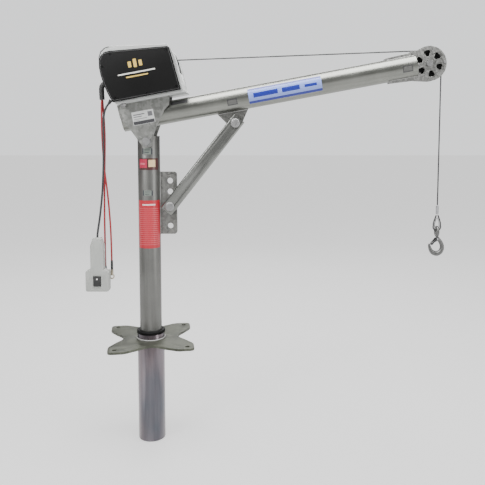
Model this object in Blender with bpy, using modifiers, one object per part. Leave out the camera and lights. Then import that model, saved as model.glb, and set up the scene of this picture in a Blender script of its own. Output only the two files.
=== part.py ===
"""Portable davit crane: a deck socket, a swivelling mast, a luffing boom with a pinned brace,
a 12 V electric winch with its rope, sheave and safety hook, and a pendant handset.

Metres, +Z up. The origin is on the mast's axis at the underside of the base plate, the deck plane.
The boom points along +X. Boom-frame positions are (u, y, v): u along the boom, v square to it,
both from the boom pivot.
"""

import math

import bmesh
import bpy
from mathutils import Matrix, Vector

GAP = 0.0003

# Base and mast
PLATE_HALF = 0.138
PLATE_T = 0.008
PLATE_TURN = math.radians(8.5)
ARM_TIP = 0.090
PLATE_HOLE_AT = 0.116
PLATE_HOLE_R = 0.007
SLEEVE_R = 0.0452
SLEEVE_WALL = 0.0055
SLEEVE_TOP = 0.026
SLEEVE_BOTTOM = -0.340
BUSH_LIP = 0.0105
BUSH_LIP_R = 0.0470
BUSH_DEEP = 0.045
FOOT_BUSH_TOP = -0.286
FLOOR_Z = (SLEEVE_BOTTOM + 0.002, SLEEVE_BOTTOM + 0.008)
MAST_R = 0.0365
MAST_WALL = 0.005
MAST_TOP = 0.687
MAST_BOTTOM = -0.322
PIVOT = Vector((0.0, 0.0, 0.6685))
PIVOT_BOLT_R = 0.008
BRACKET_T = 0.010
BRACKET_X = (MAST_R + GAP, 0.0923)
BRACKET_Z = (0.361, 0.569)
BRACKET_HOLE_X = 0.070
BRACKET_HOLES_Z = (0.539, 0.503, 0.454, 0.3885)
BRACKET_HOLE_R = 0.0095
PIN_Z = 0.454

# Boom
BOOM_ANGLE = math.radians(10.5)
BOOM_V = 0.082
BOOM_R = 0.0365
BOOM_WALL = 0.004
BOOM_U = (-0.069, 0.904)
CHEEK_IN = 0.0372
CHEEK_T = 0.005
CHEEK_TOP_V = 0.131
WINCH_PLATE_T = 0.006
LUG_T = 0.010
LUG_PIN = (0.2926, 0.007)

# Boom head and rope
SHEAVE = (0.947, 0.0815)
HEAD_R = 0.0565
HEAD_T = 0.006
HEAD_Y = 0.013
ROPE_R = 0.0024
SHEAVE_ROPE_R = 0.0433
DRUM = (0.035, 0.216)
DRUM_ROPE_R = 0.0421
DRUM_SHAFT_R = 0.007
RUN_START = 0.0228
SHEAVE_BOLT_R = 0.006

# Brace
BRACE_SIDE = 0.045
BRACE_WALL = 0.004
BRACE_OVER = 0.020
BRACE_PIN_R = 0.008
PIN_HEAD_R = 0.015

# Winch
WINCH_HALF = 0.090
COVER_T = 0.014
SHEET_T = 0.0025
FRAME_Y = 0.060
FRAME_T = 0.004
MODULE = 0.0015
BIG_TEETH = 48
SMALL_TEETH = 12
GEAR_DISTANCE = MODULE * (BIG_TEETH + SMALL_TEETH) / 2
MID_AT = math.radians(150)
MOTOR_AT = math.radians(200)
MOTOR_R = 0.027

# Hook, in (x, z) from the rope's axis
ROPE_DROP_END = 0.4562
FERRULE = (0.4259, 0.4559)
EYE_Z = 0.3685
EYE_R = 0.0145
EYE_WIRE = 0.0046
LATCH_PIN = (-0.0065, 0.3400)

# Leads and pendant
LEAD_R = 0.003
CORD_R = 0.0034
LEAD_MOUTH = (-0.115, -0.040, 0.157)
GLAND_MOUTH = (-0.0905, -0.070, 0.1385)
LEAD_ROUTES = {
    "red_lead_left": [(-0.1418, -0.0445, 0.7996), (-0.1432, -0.0445, 0.7800), (-0.1437, -0.0445, 0.7300),
                      (-0.1430, -0.0445, 0.6730), (-0.1380, -0.0447, 0.5850), (-0.1285, -0.0450, 0.4960),
                      (-0.1222, -0.0450, 0.4100), (-0.1197, -0.0450, 0.3345), (-0.1190, -0.0450, 0.2500)],
    "red_lead_right": [(-0.1416, -0.0355, 0.7996), (-0.1405, -0.0355, 0.7800), (-0.1375, -0.0355, 0.7300),
                       (-0.1362, -0.0355, 0.6730), (-0.1385, -0.0353, 0.5900), (-0.1412, -0.0350, 0.5000),
                       (-0.1424, -0.0350, 0.4200), (-0.1424, -0.0350, 0.3507), (-0.1420, -0.0350, 0.2300)],
}
CORD_ROUTE = [(-0.1166, -0.0700, 0.7857), (-0.1225, -0.0700, 0.7770), (-0.1290, -0.0700, 0.7600),
              (-0.1322, -0.0700, 0.7300), (-0.1335, -0.0700, 0.6700), (-0.1350, -0.0700, 0.5900),
              (-0.1402, -0.0700, 0.5049), (-0.1490, -0.0700, 0.4300), (-0.1570, -0.0700, 0.3800),
              (-0.1590, -0.0700, 0.3603)]
HANDSET_TOP = Vector((-0.1590, -0.0700, 0.3600))
HANDSET_LONG = 0.175
HANDLE_LONG = 0.108
HANDLE_HALF = 0.021
HANDSET_HEAD_HALF = 0.0375
HANDSET_DEEP = 0.030
ROCKER_DROP = 0.141
ROCKER_HALF = (0.012, 0.016)


def clear_scene():
    for thing in list(bpy.data.objects):
        bpy.data.objects.remove(thing, do_unlink=True)


clear_scene()
parts = bpy.data.collections.new("davit_crane")
cutters = bpy.data.collections.new("cutters")
bpy.context.scene.collection.children.link(parts)
bpy.context.scene.collection.children.link(cutters)


def finish(name, colour, roughness, metallic):
    made = bpy.data.materials.new(name)
    made.use_nodes = True
    shader = made.node_tree.nodes["Principled BSDF"]
    shader.inputs["Base Color"].default_value = (*colour, 1)
    shader.inputs["Roughness"].default_value = roughness
    shader.inputs["Metallic"].default_value = metallic
    return made


FINISHES = {
    "zinc_plate": ((0.42, 0.43, 0.41), 0.45, 0.8),
    "zinc_tube": ((0.40, 0.40, 0.39), 0.35, 0.9),
    "bright_zinc": ((0.50, 0.48, 0.50), 0.28, 0.95),
    "steel": ((0.35, 0.35, 0.36), 0.40, 0.9),
    "silver_paint": ((0.60, 0.61, 0.60), 0.40, 0.3),
    "black_plastic": ((0.02, 0.02, 0.02), 0.45, 0.0),
    "black_rubber": ((0.015, 0.015, 0.015), 0.7, 0.0),
    "red_rubber": ((0.40, 0.02, 0.03), 0.5, 0.0),
    "wire_rope": ((0.30, 0.30, 0.31), 0.45, 0.8),
    "light_plastic": ((0.55, 0.56, 0.55), 0.45, 0.0),
    "brass": ((0.60, 0.45, 0.20), 0.35, 0.9),
}


def link(made, kind, collection=parts):
    collection.objects.link(made)
    made.data.materials.clear()
    made.data.materials.append(finish(made.name + "_finish", *FINISHES[kind]))
    return made


def axis_empty(name, location, tilt=0.0, turn=0.0):
    """A frame on a joint's axis: its local X is tilted up towards +Z by tilt, or turned about Z."""
    empty = bpy.data.objects.new(name, None)
    empty.location = location
    empty.rotation_euler = (0, -tilt, turn)
    parts.objects.link(empty)
    return empty


def place(made, parent, location=(0, 0, 0), rotation=(0, 0, 0)):
    made.parent = parent
    made.location = location
    made.rotation_euler = rotation
    return made


def arc(centre, radius, start, end, count):
    """Points on an arc, with angles in degrees, both ends included."""
    steps = [math.radians(start + (end - start) * i / (count - 1)) for i in range(count)]
    return [(centre[0] + radius * math.cos(a), centre[1] + radius * math.sin(a)) for a in steps]


def circle(centre, radius, count=16):
    return arc(centre, radius, 0, 360 - 360 / count, count)


def outline_curve(name, loops, thickness):
    curve = bpy.data.curves.new(name, "CURVE")
    curve.dimensions = "2D"
    curve.fill_mode = "BOTH"
    curve.extrude = thickness / 2
    for loop in loops:
        spline = curve.splines.new("POLY")
        spline.points.add(len(loop) - 1)
        for point, (x, y) in zip(spline.points, loop):
            point.co = (x, y, 0, 1)
        spline.use_cyclic_u = True
    return bpy.data.objects.new(name, curve)


UPRIGHT = (math.pi / 2, 0, 0)
ALONG_Y = (-math.pi / 2, 0, 0)
ALONG_X = (0, math.pi / 2, 0)


def plate(name, kind, parent, loops, thickness, y=0.0, collection=parts):
    """A flat plate in the parent's X-Z plane, its thickness centred on y."""
    made = link(outline_curve(name, loops, thickness), kind, collection)
    return place(made, parent, (0, y, 0), UPRIGHT)


def as_mesh(made):
    """The same piece as a mesh with its caps welded, so that it can be cut or joined."""
    bpy.context.view_layer.update()
    evaluated = made.evaluated_get(bpy.context.evaluated_depsgraph_get())
    mesh = bpy.data.meshes.new_from_object(evaluated)
    shape = bmesh.new()
    shape.from_mesh(mesh)
    bmesh.ops.remove_doubles(shape, verts=shape.verts, dist=0.000001)
    shape.to_mesh(mesh)
    shape.free()
    name = made.name
    collection = made.users_collection[0]
    solid = bpy.data.objects.new(name, mesh)
    collection.objects.link(solid)
    solid.parent = made.parent
    solid.matrix_world = made.matrix_world
    bpy.data.objects.remove(made, do_unlink=True)
    solid.name = name
    return solid


def turned(name, kind, parent, profile, location=(0, 0, 0), rotation=(0, 0, 0), steps=24, ring=False,
           collection=parts):
    """A profile of (radius, height) points, top to bottom down the outer side, spun about local Z."""
    mesh = bpy.data.meshes.new(name)
    edges = [(i, i + 1) for i in range(len(profile) - 1)]
    if ring:
        edges.append((len(profile) - 1, 0))
    mesh.from_pydata([(r, 0, z) for r, z in profile], edges, [])
    made = link(bpy.data.objects.new(name, mesh), kind, collection)
    screw = made.modifiers.new("Screw", "SCREW")
    screw.steps = steps
    screw.render_steps = steps
    screw.use_merge_vertices = not ring
    screw.merge_threshold = 0.00001
    screw.use_smooth_shade = True
    return place(made, parent, location, rotation)


def tube_profile(outer, inner, bottom, top):
    return [(outer, top), (outer, bottom), (inner, bottom), (inner, top)]


def rod_profile(radius, bottom, top):
    return [(0, top), (radius, top), (radius, bottom), (0, bottom)]


def box(name, kind, parent, low, high, bevel=0.0, collection=parts):
    """A box between two corners in the parent's frame, with its edges rounded if bevel is given."""
    mesh = bpy.data.meshes.new(name)
    shape = bmesh.new()
    bmesh.ops.create_cube(shape, size=1)
    size = [b - a for a, b in zip(low, high)]
    middle = [(a + b) / 2 for a, b in zip(low, high)]
    bmesh.ops.transform(shape, matrix=Matrix.Diagonal((*size, 1)), verts=shape.verts)
    shape.to_mesh(mesh)
    shape.free()
    made = link(bpy.data.objects.new(name, mesh), kind, collection)
    if bevel:
        rounding = made.modifiers.new("Bevel", "BEVEL")
        rounding.width = bevel
        rounding.segments = 2
    return place(made, parent, middle)


def wire(name, kind, parent, points, radius, resolution=2, radii=None, cyclic=False):
    """A round bar through points in the parent's frame; radii scale it point by point."""
    curve = bpy.data.curves.new(name, "CURVE")
    curve.dimensions = "3D"
    curve.bevel_depth = radius
    curve.bevel_resolution = resolution
    curve.use_fill_caps = True
    spline = curve.splines.new("POLY")
    spline.points.add(len(points) - 1)
    for i, point in enumerate(points):
        spline.points[i].co = (*point, 1)
        spline.points[i].radius = radii[i] / radius if radii else 1
    spline.use_cyclic_u = cyclic
    spline.use_smooth = True
    return place(link(bpy.data.objects.new(name, curve), kind), parent)


def smooth_route(points, spacing):
    """Evenly spaced points on a Catmull-Rom curve through the given points."""
    known = [Vector(p) for p in points]
    known = [known[0] * 2 - known[1]] + known + [known[-1] * 2 - known[-2]]
    fine = []
    for a, b, c, d in zip(known, known[1:], known[2:], known[3:]):
        for i in range(24):
            t = i / 24
            fine.append(0.5 * (2 * b + (c - a) * t + (2 * a - 5 * b + 4 * c - d) * t**2
                               + (3 * b - a - 3 * c + d) * t**3))
    fine.append(known[-2])
    lengths = [0.0]
    for a, b in zip(fine, fine[1:]):
        lengths.append(lengths[-1] + (b - a).length)
    count = max(2, round(lengths[-1] / spacing))
    out = []
    j = 0
    for i in range(count + 1):
        want = lengths[-1] * i / count
        while j < len(fine) - 2 and lengths[j + 1] < want:
            j += 1
        share = (want - lengths[j]) / max(lengths[j + 1] - lengths[j], 1e-9)
        out.append(fine[j].lerp(fine[j + 1], min(share, 1)))
    return out


def combine(made, tool, operation):
    """Joins or cuts a mesh with another, which stays as a hidden cutter."""
    if tool.users_collection[0] is not cutters:
        tool.users_collection[0].objects.unlink(tool)
        cutters.objects.link(tool)
    tool.hide_render = True
    tool.display_type = "WIRE"
    change = made.modifiers.new(operation.title() + " " + tool.name, "BOOLEAN")
    change.operation = operation
    change.object = tool
    change.solver = "EXACT"
    return made


def cross_hole(made, parent, name, radius, u, v, half):
    """A round hole through a piece along Y, at (u, v) in the parent's frame."""
    tool = turned(name, "steel", parent, rod_profile(radius, -half, half), (u, 0, v), ALONG_Y, 24,
                  collection=cutters)
    return combine(made, tool, "DIFFERENCE")


def offset_inward(outline, distance):
    """The outline, given anticlockwise, with each side moved inward by distance."""
    out = []
    for i, point in enumerate(outline):
        before = Vector(outline[i - 1])
        here = Vector(point)
        after = Vector(outline[(i + 1) % len(outline)])
        first = (here - before).normalized()
        second = (after - here).normalized()
        normals = [Vector((-first.y, first.x)), Vector((-second.y, second.x))]
        middle = (normals[0] + normals[1]).normalized()
        moved = here + middle * distance / max(middle.dot(normals[0]), 0.5)
        out.append((moved.x, moved.y))
    return out


def strip_outline(path, thickness):
    """A bent sheet's section: the path, and the same path set inward on its left side."""
    inner = []
    for i, point in enumerate(path):
        here = Vector(point)
        first = (here - Vector(path[i - 1])).normalized() if i else None
        second = (Vector(path[i + 1]) - here).normalized() if i < len(path) - 1 else None
        first = first or second
        second = second or first
        normals = [Vector((-first.y, first.x)), Vector((-second.y, second.x))]
        middle = (normals[0] + normals[1]).normalized()
        moved = here + middle * thickness / max(middle.dot(normals[0]), 0.5)
        inner.append((moved.x, moved.y))
    return list(path) + inner[::-1]


def gear_outline(teeth, centre, phase):
    """Straight-flanked teeth with a little backlash, one tooth centred at the angle phase."""
    pitch = MODULE * teeth / 2
    out = []
    for i in range(teeth):
        middle = phase + 2 * math.pi * i / teeth
        half = math.pi / teeth / 2
        for radius, share in ((pitch - 1.2 * MODULE, -1.35), (pitch + 0.85 * MODULE, -0.45),
                              (pitch + 0.85 * MODULE, 0.45), (pitch - 1.2 * MODULE, 1.35)):
            angle = middle + half * share
            out.append((centre[0] + radius * math.cos(angle), centre[1] + radius * math.sin(angle)))
    return out


def boom_point(u, y, v):
    c, s = math.cos(BOOM_ANGLE), math.sin(BOOM_ANGLE)
    return PIVOT + Vector((u * c - v * s, y, u * s + v * c))


# ---------------------------------------------------------------- base and socket

base = axis_empty("base_axis", (0, 0, 0), turn=PLATE_TURN)
mast = axis_empty("mast_axis", (0, 0, 0))


def base_plate():
    """A square plate with four scallops that leave a bolted arm at each corner."""
    side = ([(PLATE_HALF, -ARM_TIP), (0.134, -0.078), (0.115, -0.046), (0.100, -0.025), (0.092, -0.010),
             (0.090, 0.0), (0.092, 0.010), (0.100, 0.025), (0.115, 0.046), (0.134, 0.078),
             (PLATE_HALF, ARM_TIP)] + arc((PLATE_HALF - 0.014, PLATE_HALF - 0.014), 0.014, 0, 90, 5))
    outline = []
    for quarter in range(4):
        turn = Matrix.Rotation(math.pi / 2 * quarter, 2)
        outline += [tuple(turn @ Vector(p)) for p in side]
    corners = [(x * PLATE_HOLE_AT, y * PLATE_HOLE_AT) for x in (-1, 1) for y in (-1, 1)]
    holes = [circle(corner, PLATE_HOLE_R, 16) for corner in corners]
    bore = circle((0, 0), SLEEVE_R + GAP, 32)
    made = link(outline_curve("base_plate", [outline, bore] + holes, PLATE_T), "zinc_plate")
    place(made, base, (0, 0, PLATE_T / 2))


base_plate()
SLEEVE_IN = SLEEVE_R - SLEEVE_WALL
BUSH_R = SLEEVE_IN - GAP
BUSH_BORE = MAST_R + 0.0006
turned("socket_sleeve", "bright_zinc", base,
       [(SLEEVE_R - 0.001, SLEEVE_TOP), (SLEEVE_R, SLEEVE_TOP - 0.001), (SLEEVE_R, SLEEVE_BOTTOM),
        (SLEEVE_IN, SLEEVE_BOTTOM), (SLEEVE_IN, SLEEVE_TOP)], steps=32, ring=True)
turned("sleeve_floor", "zinc_plate", base,
       tube_profile(BUSH_R, 0.010, *FLOOR_Z), steps=32, ring=True)
turned("top_bush", "black_plastic", base,
       [(BUSH_LIP_R, SLEEVE_TOP + BUSH_LIP), (BUSH_LIP_R, SLEEVE_TOP + GAP), (BUSH_R, SLEEVE_TOP + GAP),
        (BUSH_R, SLEEVE_TOP - BUSH_DEEP), (BUSH_BORE, SLEEVE_TOP - BUSH_DEEP),
        (BUSH_BORE, SLEEVE_TOP + BUSH_LIP)], steps=32, ring=True)
bush_foot = FLOOR_Z[1] + GAP
mast_seat = MAST_BOTTOM - 0.0035
turned("bottom_bush", "black_plastic", base,
       [(BUSH_R, FOOT_BUSH_TOP), (BUSH_R, bush_foot), (0.012, bush_foot), (0.012, mast_seat),
        (BUSH_BORE, mast_seat), (BUSH_BORE, FOOT_BUSH_TOP)], steps=32, ring=True)

# ---------------------------------------------------------------- mast

MAST_IN = MAST_R - MAST_WALL
tube = turned("mast_tube", "zinc_tube", mast, tube_profile(MAST_R, MAST_IN, MAST_BOTTOM, MAST_TOP), steps=32,
              ring=True)
cross_hole(tube, mast, "mast_pivot_hole", 0.0133, PIVOT.x, PIVOT.z, 0.05)
PLUG_R = MAST_IN - GAP
PLUG_RIM_R = MAST_R - 0.002
PLUG_Z = (MAST_BOTTOM - 0.003, MAST_BOTTOM + 0.020)
turned("mast_foot_plug", "steel", mast,
       [(0.006, PLUG_Z[1]), (PLUG_R, PLUG_Z[1]), (PLUG_R, MAST_BOTTOM - GAP), (PLUG_RIM_R, MAST_BOTTOM - GAP),
        (PLUG_RIM_R, PLUG_Z[0]), (0.006, PLUG_Z[0])], steps=32, ring=True)
turned("mast_pivot_tube", "steel", mast, tube_profile(0.013, PIVOT_BOLT_R + GAP, -MAST_R, MAST_R),
       tuple(PIVOT), ALONG_Y, 24, ring=True)


def brace_bracket():
    corner = 0.009
    low, high = (BRACKET_X[0], BRACKET_Z[0]), (BRACKET_X[1], BRACKET_Z[1])
    outline = ([low] + arc((high[0] - corner, low[1] + corner), corner, -90, 0, 5)
               + arc((high[0] - corner, high[1] - corner), corner, 0, 90, 5) + [(low[0], high[1])])
    holes = [circle((BRACKET_HOLE_X, z), BRACKET_HOLE_R, 18) for z in BRACKET_HOLES_Z]
    plate("brace_bracket", "zinc_plate", mast, [outline] + holes, BRACKET_T)


brace_bracket()

# ---------------------------------------------------------------- boom

boom = axis_empty("boom_axis", PIVOT, tilt=BOOM_ANGLE)

CHEEK_OUTLINE = ([(-0.072, CHEEK_TOP_V), (-0.070, 0.089), (-0.047, 0.051)] + arc((0, 0), 0.0205, 215, 322, 9)
                 + [(0.028, 0.020), (0.045, 0.049), (0.061, 0.0675), (0.075, 0.089), (0.094, 0.103),
                    (0.100, CHEEK_TOP_V)])
for side, name in ((-1, "side_plate_near"), (1, "side_plate_far")):
    plate(name, "zinc_plate", boom, [CHEEK_OUTLINE, circle((0, 0), PIVOT_BOLT_R + GAP)], CHEEK_T,
          side * (CHEEK_IN + CHEEK_T / 2))

tube = turned("boom_tube", "zinc_tube", boom, tube_profile(BOOM_R, BOOM_R - BOOM_WALL, *BOOM_U),
              (0, 0, BOOM_V), ALONG_X, 32, ring=True)
HEAD_OUTLINE = ([(0.810, 0.123), (0.810, 0.0415), (0.889, 0.037)] + arc(SHEAVE, HEAD_R, -105, 122, 30)
                + [(0.899, 0.131), (0.881, 0.1255)])
for side in (-1, 1):
    half_slot = HEAD_T / 2 + GAP
    slot = box(f"head_slot_{side}", "steel", boom, (0.8095, side * HEAD_Y - half_slot, BOOM_V - 0.05),
               (0.92, side * HEAD_Y + half_slot, BOOM_V + 0.05), collection=cutters)
    combine(tube, slot, "DIFFERENCE")


def head_window(angle):
    """One of the head's six openings: a rounded wedge, wider towards the rim."""
    points = [(0.0235, -0.0035), (0.0255, -0.0055), (0.0365, -0.0105), (0.0400, -0.0100), (0.0425, -0.0070),
              (0.0430, 0.0000), (0.0425, 0.0070), (0.0400, 0.0100), (0.0365, 0.0105), (0.0255, 0.0055),
              (0.0235, 0.0035)]
    turn = Matrix.Rotation(angle, 2)
    return [tuple(turn @ Vector(p) + Vector(SHEAVE)) for p in points]


windows = [head_window(math.radians(32.5 + 60 * i)) for i in range(6)]
KEEPER = (SHEAVE[0] + 0.0497, SHEAVE[1] - 0.0041)
for side, name in ((-1, "head_plate_near"), (1, "head_plate_far")):
    holes = [circle(SHEAVE, SHEAVE_BOLT_R + GAP), circle(KEEPER, 0.0033, 12)]
    plate(name, "zinc_plate", boom, [HEAD_OUTLINE] + windows + holes, HEAD_T, side * HEAD_Y)

OUTER_Y = HEAD_Y + HEAD_T / 2 + GAP
turned("sheave_bolt", "steel", boom,
       [(0, -OUTER_Y - 0.006), (0.009, -OUTER_Y - 0.006), (0.010, -OUTER_Y - 0.004), (0.010, -OUTER_Y),
        (SHEAVE_BOLT_R, -OUTER_Y), (SHEAVE_BOLT_R, OUTER_Y), (0.010, OUTER_Y), (0.010, OUTER_Y + 0.009),
        (0, OUTER_Y + 0.009)][::-1], (SHEAVE[0], 0, SHEAVE[1]), ALONG_Y, 24)
turned("rope_keeper_pin", "steel", boom,
       [(0, -OUTER_Y - 0.003), (0.0055, -OUTER_Y - 0.003), (0.0055, -OUTER_Y), (0.003, -OUTER_Y),
        (0.003, OUTER_Y), (0.0055, OUTER_Y), (0.0055, OUTER_Y + 0.003), (0, OUTER_Y + 0.003)][::-1],
       (KEEPER[0], 0, KEEPER[1]), ALONG_Y, 16)

bolt_y = CHEEK_IN + CHEEK_T + GAP
turned("pivot_bolt", "steel", boom,
       [(0, -bolt_y - 0.011), (0.0125, -bolt_y - 0.011), (0.0125, -bolt_y - 0.003), (0.015, -bolt_y - 0.003),
        (0.015, -bolt_y), (PIVOT_BOLT_R, -bolt_y), (PIVOT_BOLT_R, bolt_y), (0.015, bolt_y),
        (0.015, bolt_y + 0.003), (0.0125, bolt_y + 0.003), (0.0125, bolt_y + 0.014), (0.0075, bolt_y + 0.014),
        (0.0075, bolt_y + 0.019), (0, bolt_y + 0.019)][::-1], (0, 0, 0), ALONG_Y, 20)

LUG_TOP_V = BOOM_V - BOOM_R - GAP
LUG_OUTLINE = [(0.240, LUG_TOP_V), (0.268, 0.006), (0.284, -0.011), (0.300, -0.012), (0.314, 0.002),
               (0.343, LUG_TOP_V)]
plate("brace_lug", "zinc_plate", boom, [LUG_OUTLINE, circle(LUG_PIN, BRACE_PIN_R + GAP)], LUG_T)

# ---------------------------------------------------------------- brace

lug_world = boom_point(LUG_PIN[0], 0, LUG_PIN[1])
pin_world = Vector((BRACKET_HOLE_X, 0, PIN_Z))
BRACE_LONG = (pin_world - lug_world).length
brace_tilt = math.atan2(pin_world.z - lug_world.z, pin_world.x - lug_world.x)
brace = axis_empty("brace_axis", lug_world, tilt=brace_tilt)


def brace_bar():
    """A square tube with rounded corners, slotted at both ends to straddle the lug and the bracket."""
    loops = []
    for half, corner in ((BRACE_SIDE / 2, 0.006), (BRACE_SIDE / 2 - BRACE_WALL, 0.003)):
        loop = []
        for i, (x, y) in enumerate(((1, 1), (-1, 1), (-1, -1), (1, -1))):
            loop += arc((x * (half - corner), y * (half - corner)), corner, 90 * i, 90 * i + 90, 4)
        loops.append(loop)
    long = BRACE_LONG + 2 * BRACE_OVER
    bar = link(outline_curve("brace_bar", loops, long), "zinc_plate")
    place(bar, brace, (BRACE_LONG / 2, 0, 0), ALONG_X)
    bar = as_mesh(bar)
    for name, start, end in (("upper_slot", -0.03, 0.034),
                             ("lower_slot", BRACE_LONG - 0.095, BRACE_LONG + 0.03)):
        slot = box(name, "steel", brace, (start, -0.007, -0.03), (end, 0.007, 0.03), collection=cutters)
        combine(bar, slot, "DIFFERENCE")
    cross_hole(bar, brace, "upper_pin_hole", BRACE_PIN_R + GAP, 0, 0, 0.03)
    cross_hole(bar, brace, "lower_pin_hole", BRACE_PIN_R + GAP, BRACE_LONG, 0, 0.03)


brace_bar()
ear = BRACE_SIDE / 2 + GAP
turned("brace_upper_pin", "steel", brace,
       [(0, ear + 0.009), (0.012, ear + 0.009), (0.012, ear), (BRACE_PIN_R, ear), (BRACE_PIN_R, -ear),
        (PIN_HEAD_R, -ear), (PIN_HEAD_R, -ear - 0.002), (0.0125, -ear - 0.0045), (0, -ear - 0.0045)],
       (0, 0, 0), ALONG_Y, 20)
STUB_IN = 0.0095
turned("brace_lower_pin_head", "steel", brace,
       [(0, -STUB_IN), (BRACE_PIN_R, -STUB_IN), (BRACE_PIN_R, -ear), (PIN_HEAD_R, -ear),
        (PIN_HEAD_R, -ear - 0.002), (0.0125, -ear - 0.0045), (0, -ear - 0.0045)],
       (BRACE_LONG, 0, 0), ALONG_Y, 24)
turned("brace_lower_pin_nut", "steel", brace,
       [(0, ear + 0.009), (0.012, ear + 0.009), (0.012, ear), (BRACE_PIN_R, ear), (BRACE_PIN_R, STUB_IN),
        (0, STUB_IN)], (BRACE_LONG, 0, 0), ALONG_Y, 24)

# ---------------------------------------------------------------- winch on its plate

BOLT_AT = [(-0.045, -0.070), (-0.045, 0.070), (0.082, -0.026), (0.082, 0.026)]


def winch_plate():
    """The flat plate welded across the side plates; wide at the back, where two bolts show below it."""
    outline = [(-0.066, -0.088), (-0.004, -0.088), (-0.004, -0.082), (0.156, -0.082), (0.156, 0.082),
               (-0.004, 0.082), (-0.004, 0.088), (-0.066, 0.088)]
    holes = [circle(p, 0.0053, 12) for p in BOLT_AT]
    made = link(outline_curve("winch_mount_plate", [outline] + holes, WINCH_PLATE_T), "silver_paint")
    place(made, boom, (0, 0, CHEEK_TOP_V + GAP + WINCH_PLATE_T / 2))


winch_plate()
for i, (u, y) in enumerate(BOLT_AT, 1):
    turned(f"mount_bolt_{i}", "steel", boom,
           [(0, 0.0172), (0.0075, 0.0172), (0.0075, 0.0102), (0.005, 0.0102), (0.005, -GAP),
            (0.0095, -GAP), (0.0095, -0.0085), (0.0045, -0.0085), (0.0045, -0.012), (0, -0.012)],
           (u, y, CHEEK_TOP_V + GAP), steps=18)

# Housing outline, anticlockwise from the rear lower corner
HOUSING_FRONT = [(-0.068, 0.1385), (0.150, 0.1385), (0.147, 0.215), (0.144, 0.244), (0.138, 0.268),
                 (0.128, 0.285), (-0.050, 0.311)]
HOUSING_REAR = [(-0.0518, 0.311), (-0.066, 0.309), (-0.080, 0.300), (-0.089, 0.284), (-0.093, 0.260),
                (-0.093, 0.228), (-0.090, 0.200), (-0.084, 0.172), (-0.078, 0.152), (-0.0745, 0.1400),
                (-0.0696, 0.1385)]
COVER_OUTLINE = [(-0.069, 0.1385), (0.146, 0.1385), (0.134, 0.276), (0.130, 0.280), (-0.054, 0.299),
                 (-0.068, 0.297), (-0.080, 0.289), (-0.088, 0.274), (-0.0915, 0.252), (-0.0915, 0.226),
                 (-0.088, 0.198), (-0.082, 0.170), (-0.076, 0.150)]

shell = plate("winch_housing", "silver_paint", boom, [strip_outline(HOUSING_FRONT, SHEET_T)], 2 * WINCH_HALF)
shell = as_mesh(shell)
window = box("rope_window", "steel", boom, (0.13, -0.048, 0.196), (0.16, 0.048, 0.262), collection=cutters)
combine(shell, window, "DIFFERENCE")
for i, (u, y) in enumerate(BOLT_AT, 1):
    hole = turned(f"housing_bolt_hole_{i}", "steel", boom, rod_profile(0.0053, -0.01, 0.01), (u, y, 0.1385),
                  steps=16, collection=cutters)
    combine(shell, hole, "DIFFERENCE")
plate("winch_end_cap", "black_plastic", boom, [strip_outline(HOUSING_REAR, 0.003)], 2 * WINCH_HALF)

for side, name in ((-1, "winch_cover_near"), (1, "winch_cover_far")):
    middle = WINCH_HALF + GAP + COVER_T / 2
    cover = as_mesh(plate(name, "black_plastic", boom, [COVER_OUTLINE], COVER_T, side * middle))
    hollow = as_mesh(plate(name + "_hollow", "steel", boom, [offset_inward(COVER_OUTLINE, 0.003)], COVER_T,
                           side * (middle - 0.003), cutters))
    combine(cover, hollow, "DIFFERENCE")

mid = (DRUM[0] + GEAR_DISTANCE * math.cos(MID_AT), DRUM[1] + GEAR_DISTANCE * math.sin(MID_AT))
motor = (mid[0] + GEAR_DISTANCE * math.cos(MOTOR_AT), mid[1] + GEAR_DISTANCE * math.sin(MOTOR_AT))
FRAME_OUTLINE = [(-0.062, 0.1415), (0.135, 0.1415), (0.135, 0.215), (0.120, 0.268), (-0.045, 0.292),
                 (-0.070, 0.285), (-0.082, 0.255), (-0.078, 0.190)]
near_holes = [circle(DRUM, DRUM_SHAFT_R + GAP), circle(mid, 0.0063, 14), circle(motor, 0.0053, 14)]
plate("winch_frame_near", "steel", boom, [FRAME_OUTLINE] + near_holes, FRAME_T, -FRAME_Y)
plate("winch_frame_far", "steel", boom, [FRAME_OUTLINE, circle(DRUM, DRUM_SHAFT_R + GAP)], FRAME_T, FRAME_Y)

turned("motor_case", "black_plastic", boom,
       [(0.0053, 0.0575), (MOTOR_R, 0.0575), (MOTOR_R, -0.0575), (0.0053, -0.0575), (0.0053, -0.052),
        (0.022, -0.052), (0.022, 0.052), (0.0053, 0.052)], (motor[0], 0, motor[1]), ALONG_Y, 24, ring=True)
box("contactor", "black_plastic", boom, (0.070, 0.0625, 0.150), (0.128, 0.0885, 0.198), 0.002)

# ---------------------------------------------------------------- drum, gears and motor rotor

drum_frame = axis_empty("drum_axis", boom_point(DRUM[0], 0, DRUM[1]), tilt=BOOM_ANGLE)
mid_frame = axis_empty("mid_gear_axis", boom_point(mid[0], 0, mid[1]), tilt=BOOM_ANGLE)
rotor_frame = axis_empty("rotor_axis", boom_point(motor[0], 0, motor[1]), tilt=BOOM_ANGLE)
CORE_R = DRUM_ROPE_R - ROPE_R - GAP
turned("winch_drum", "steel", drum_frame,
       [(0, 0.070), (DRUM_SHAFT_R, 0.070), (DRUM_SHAFT_R, 0.054), (0.048, 0.054), (0.048, 0.050),
        (CORE_R, 0.050), (CORE_R, -0.050), (0.048, -0.050), (0.048, -0.054), (DRUM_SHAFT_R, -0.054),
        (DRUM_SHAFT_R, -0.086), (0, -0.086)],
       rotation=ALONG_Y, steps=24)


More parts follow.
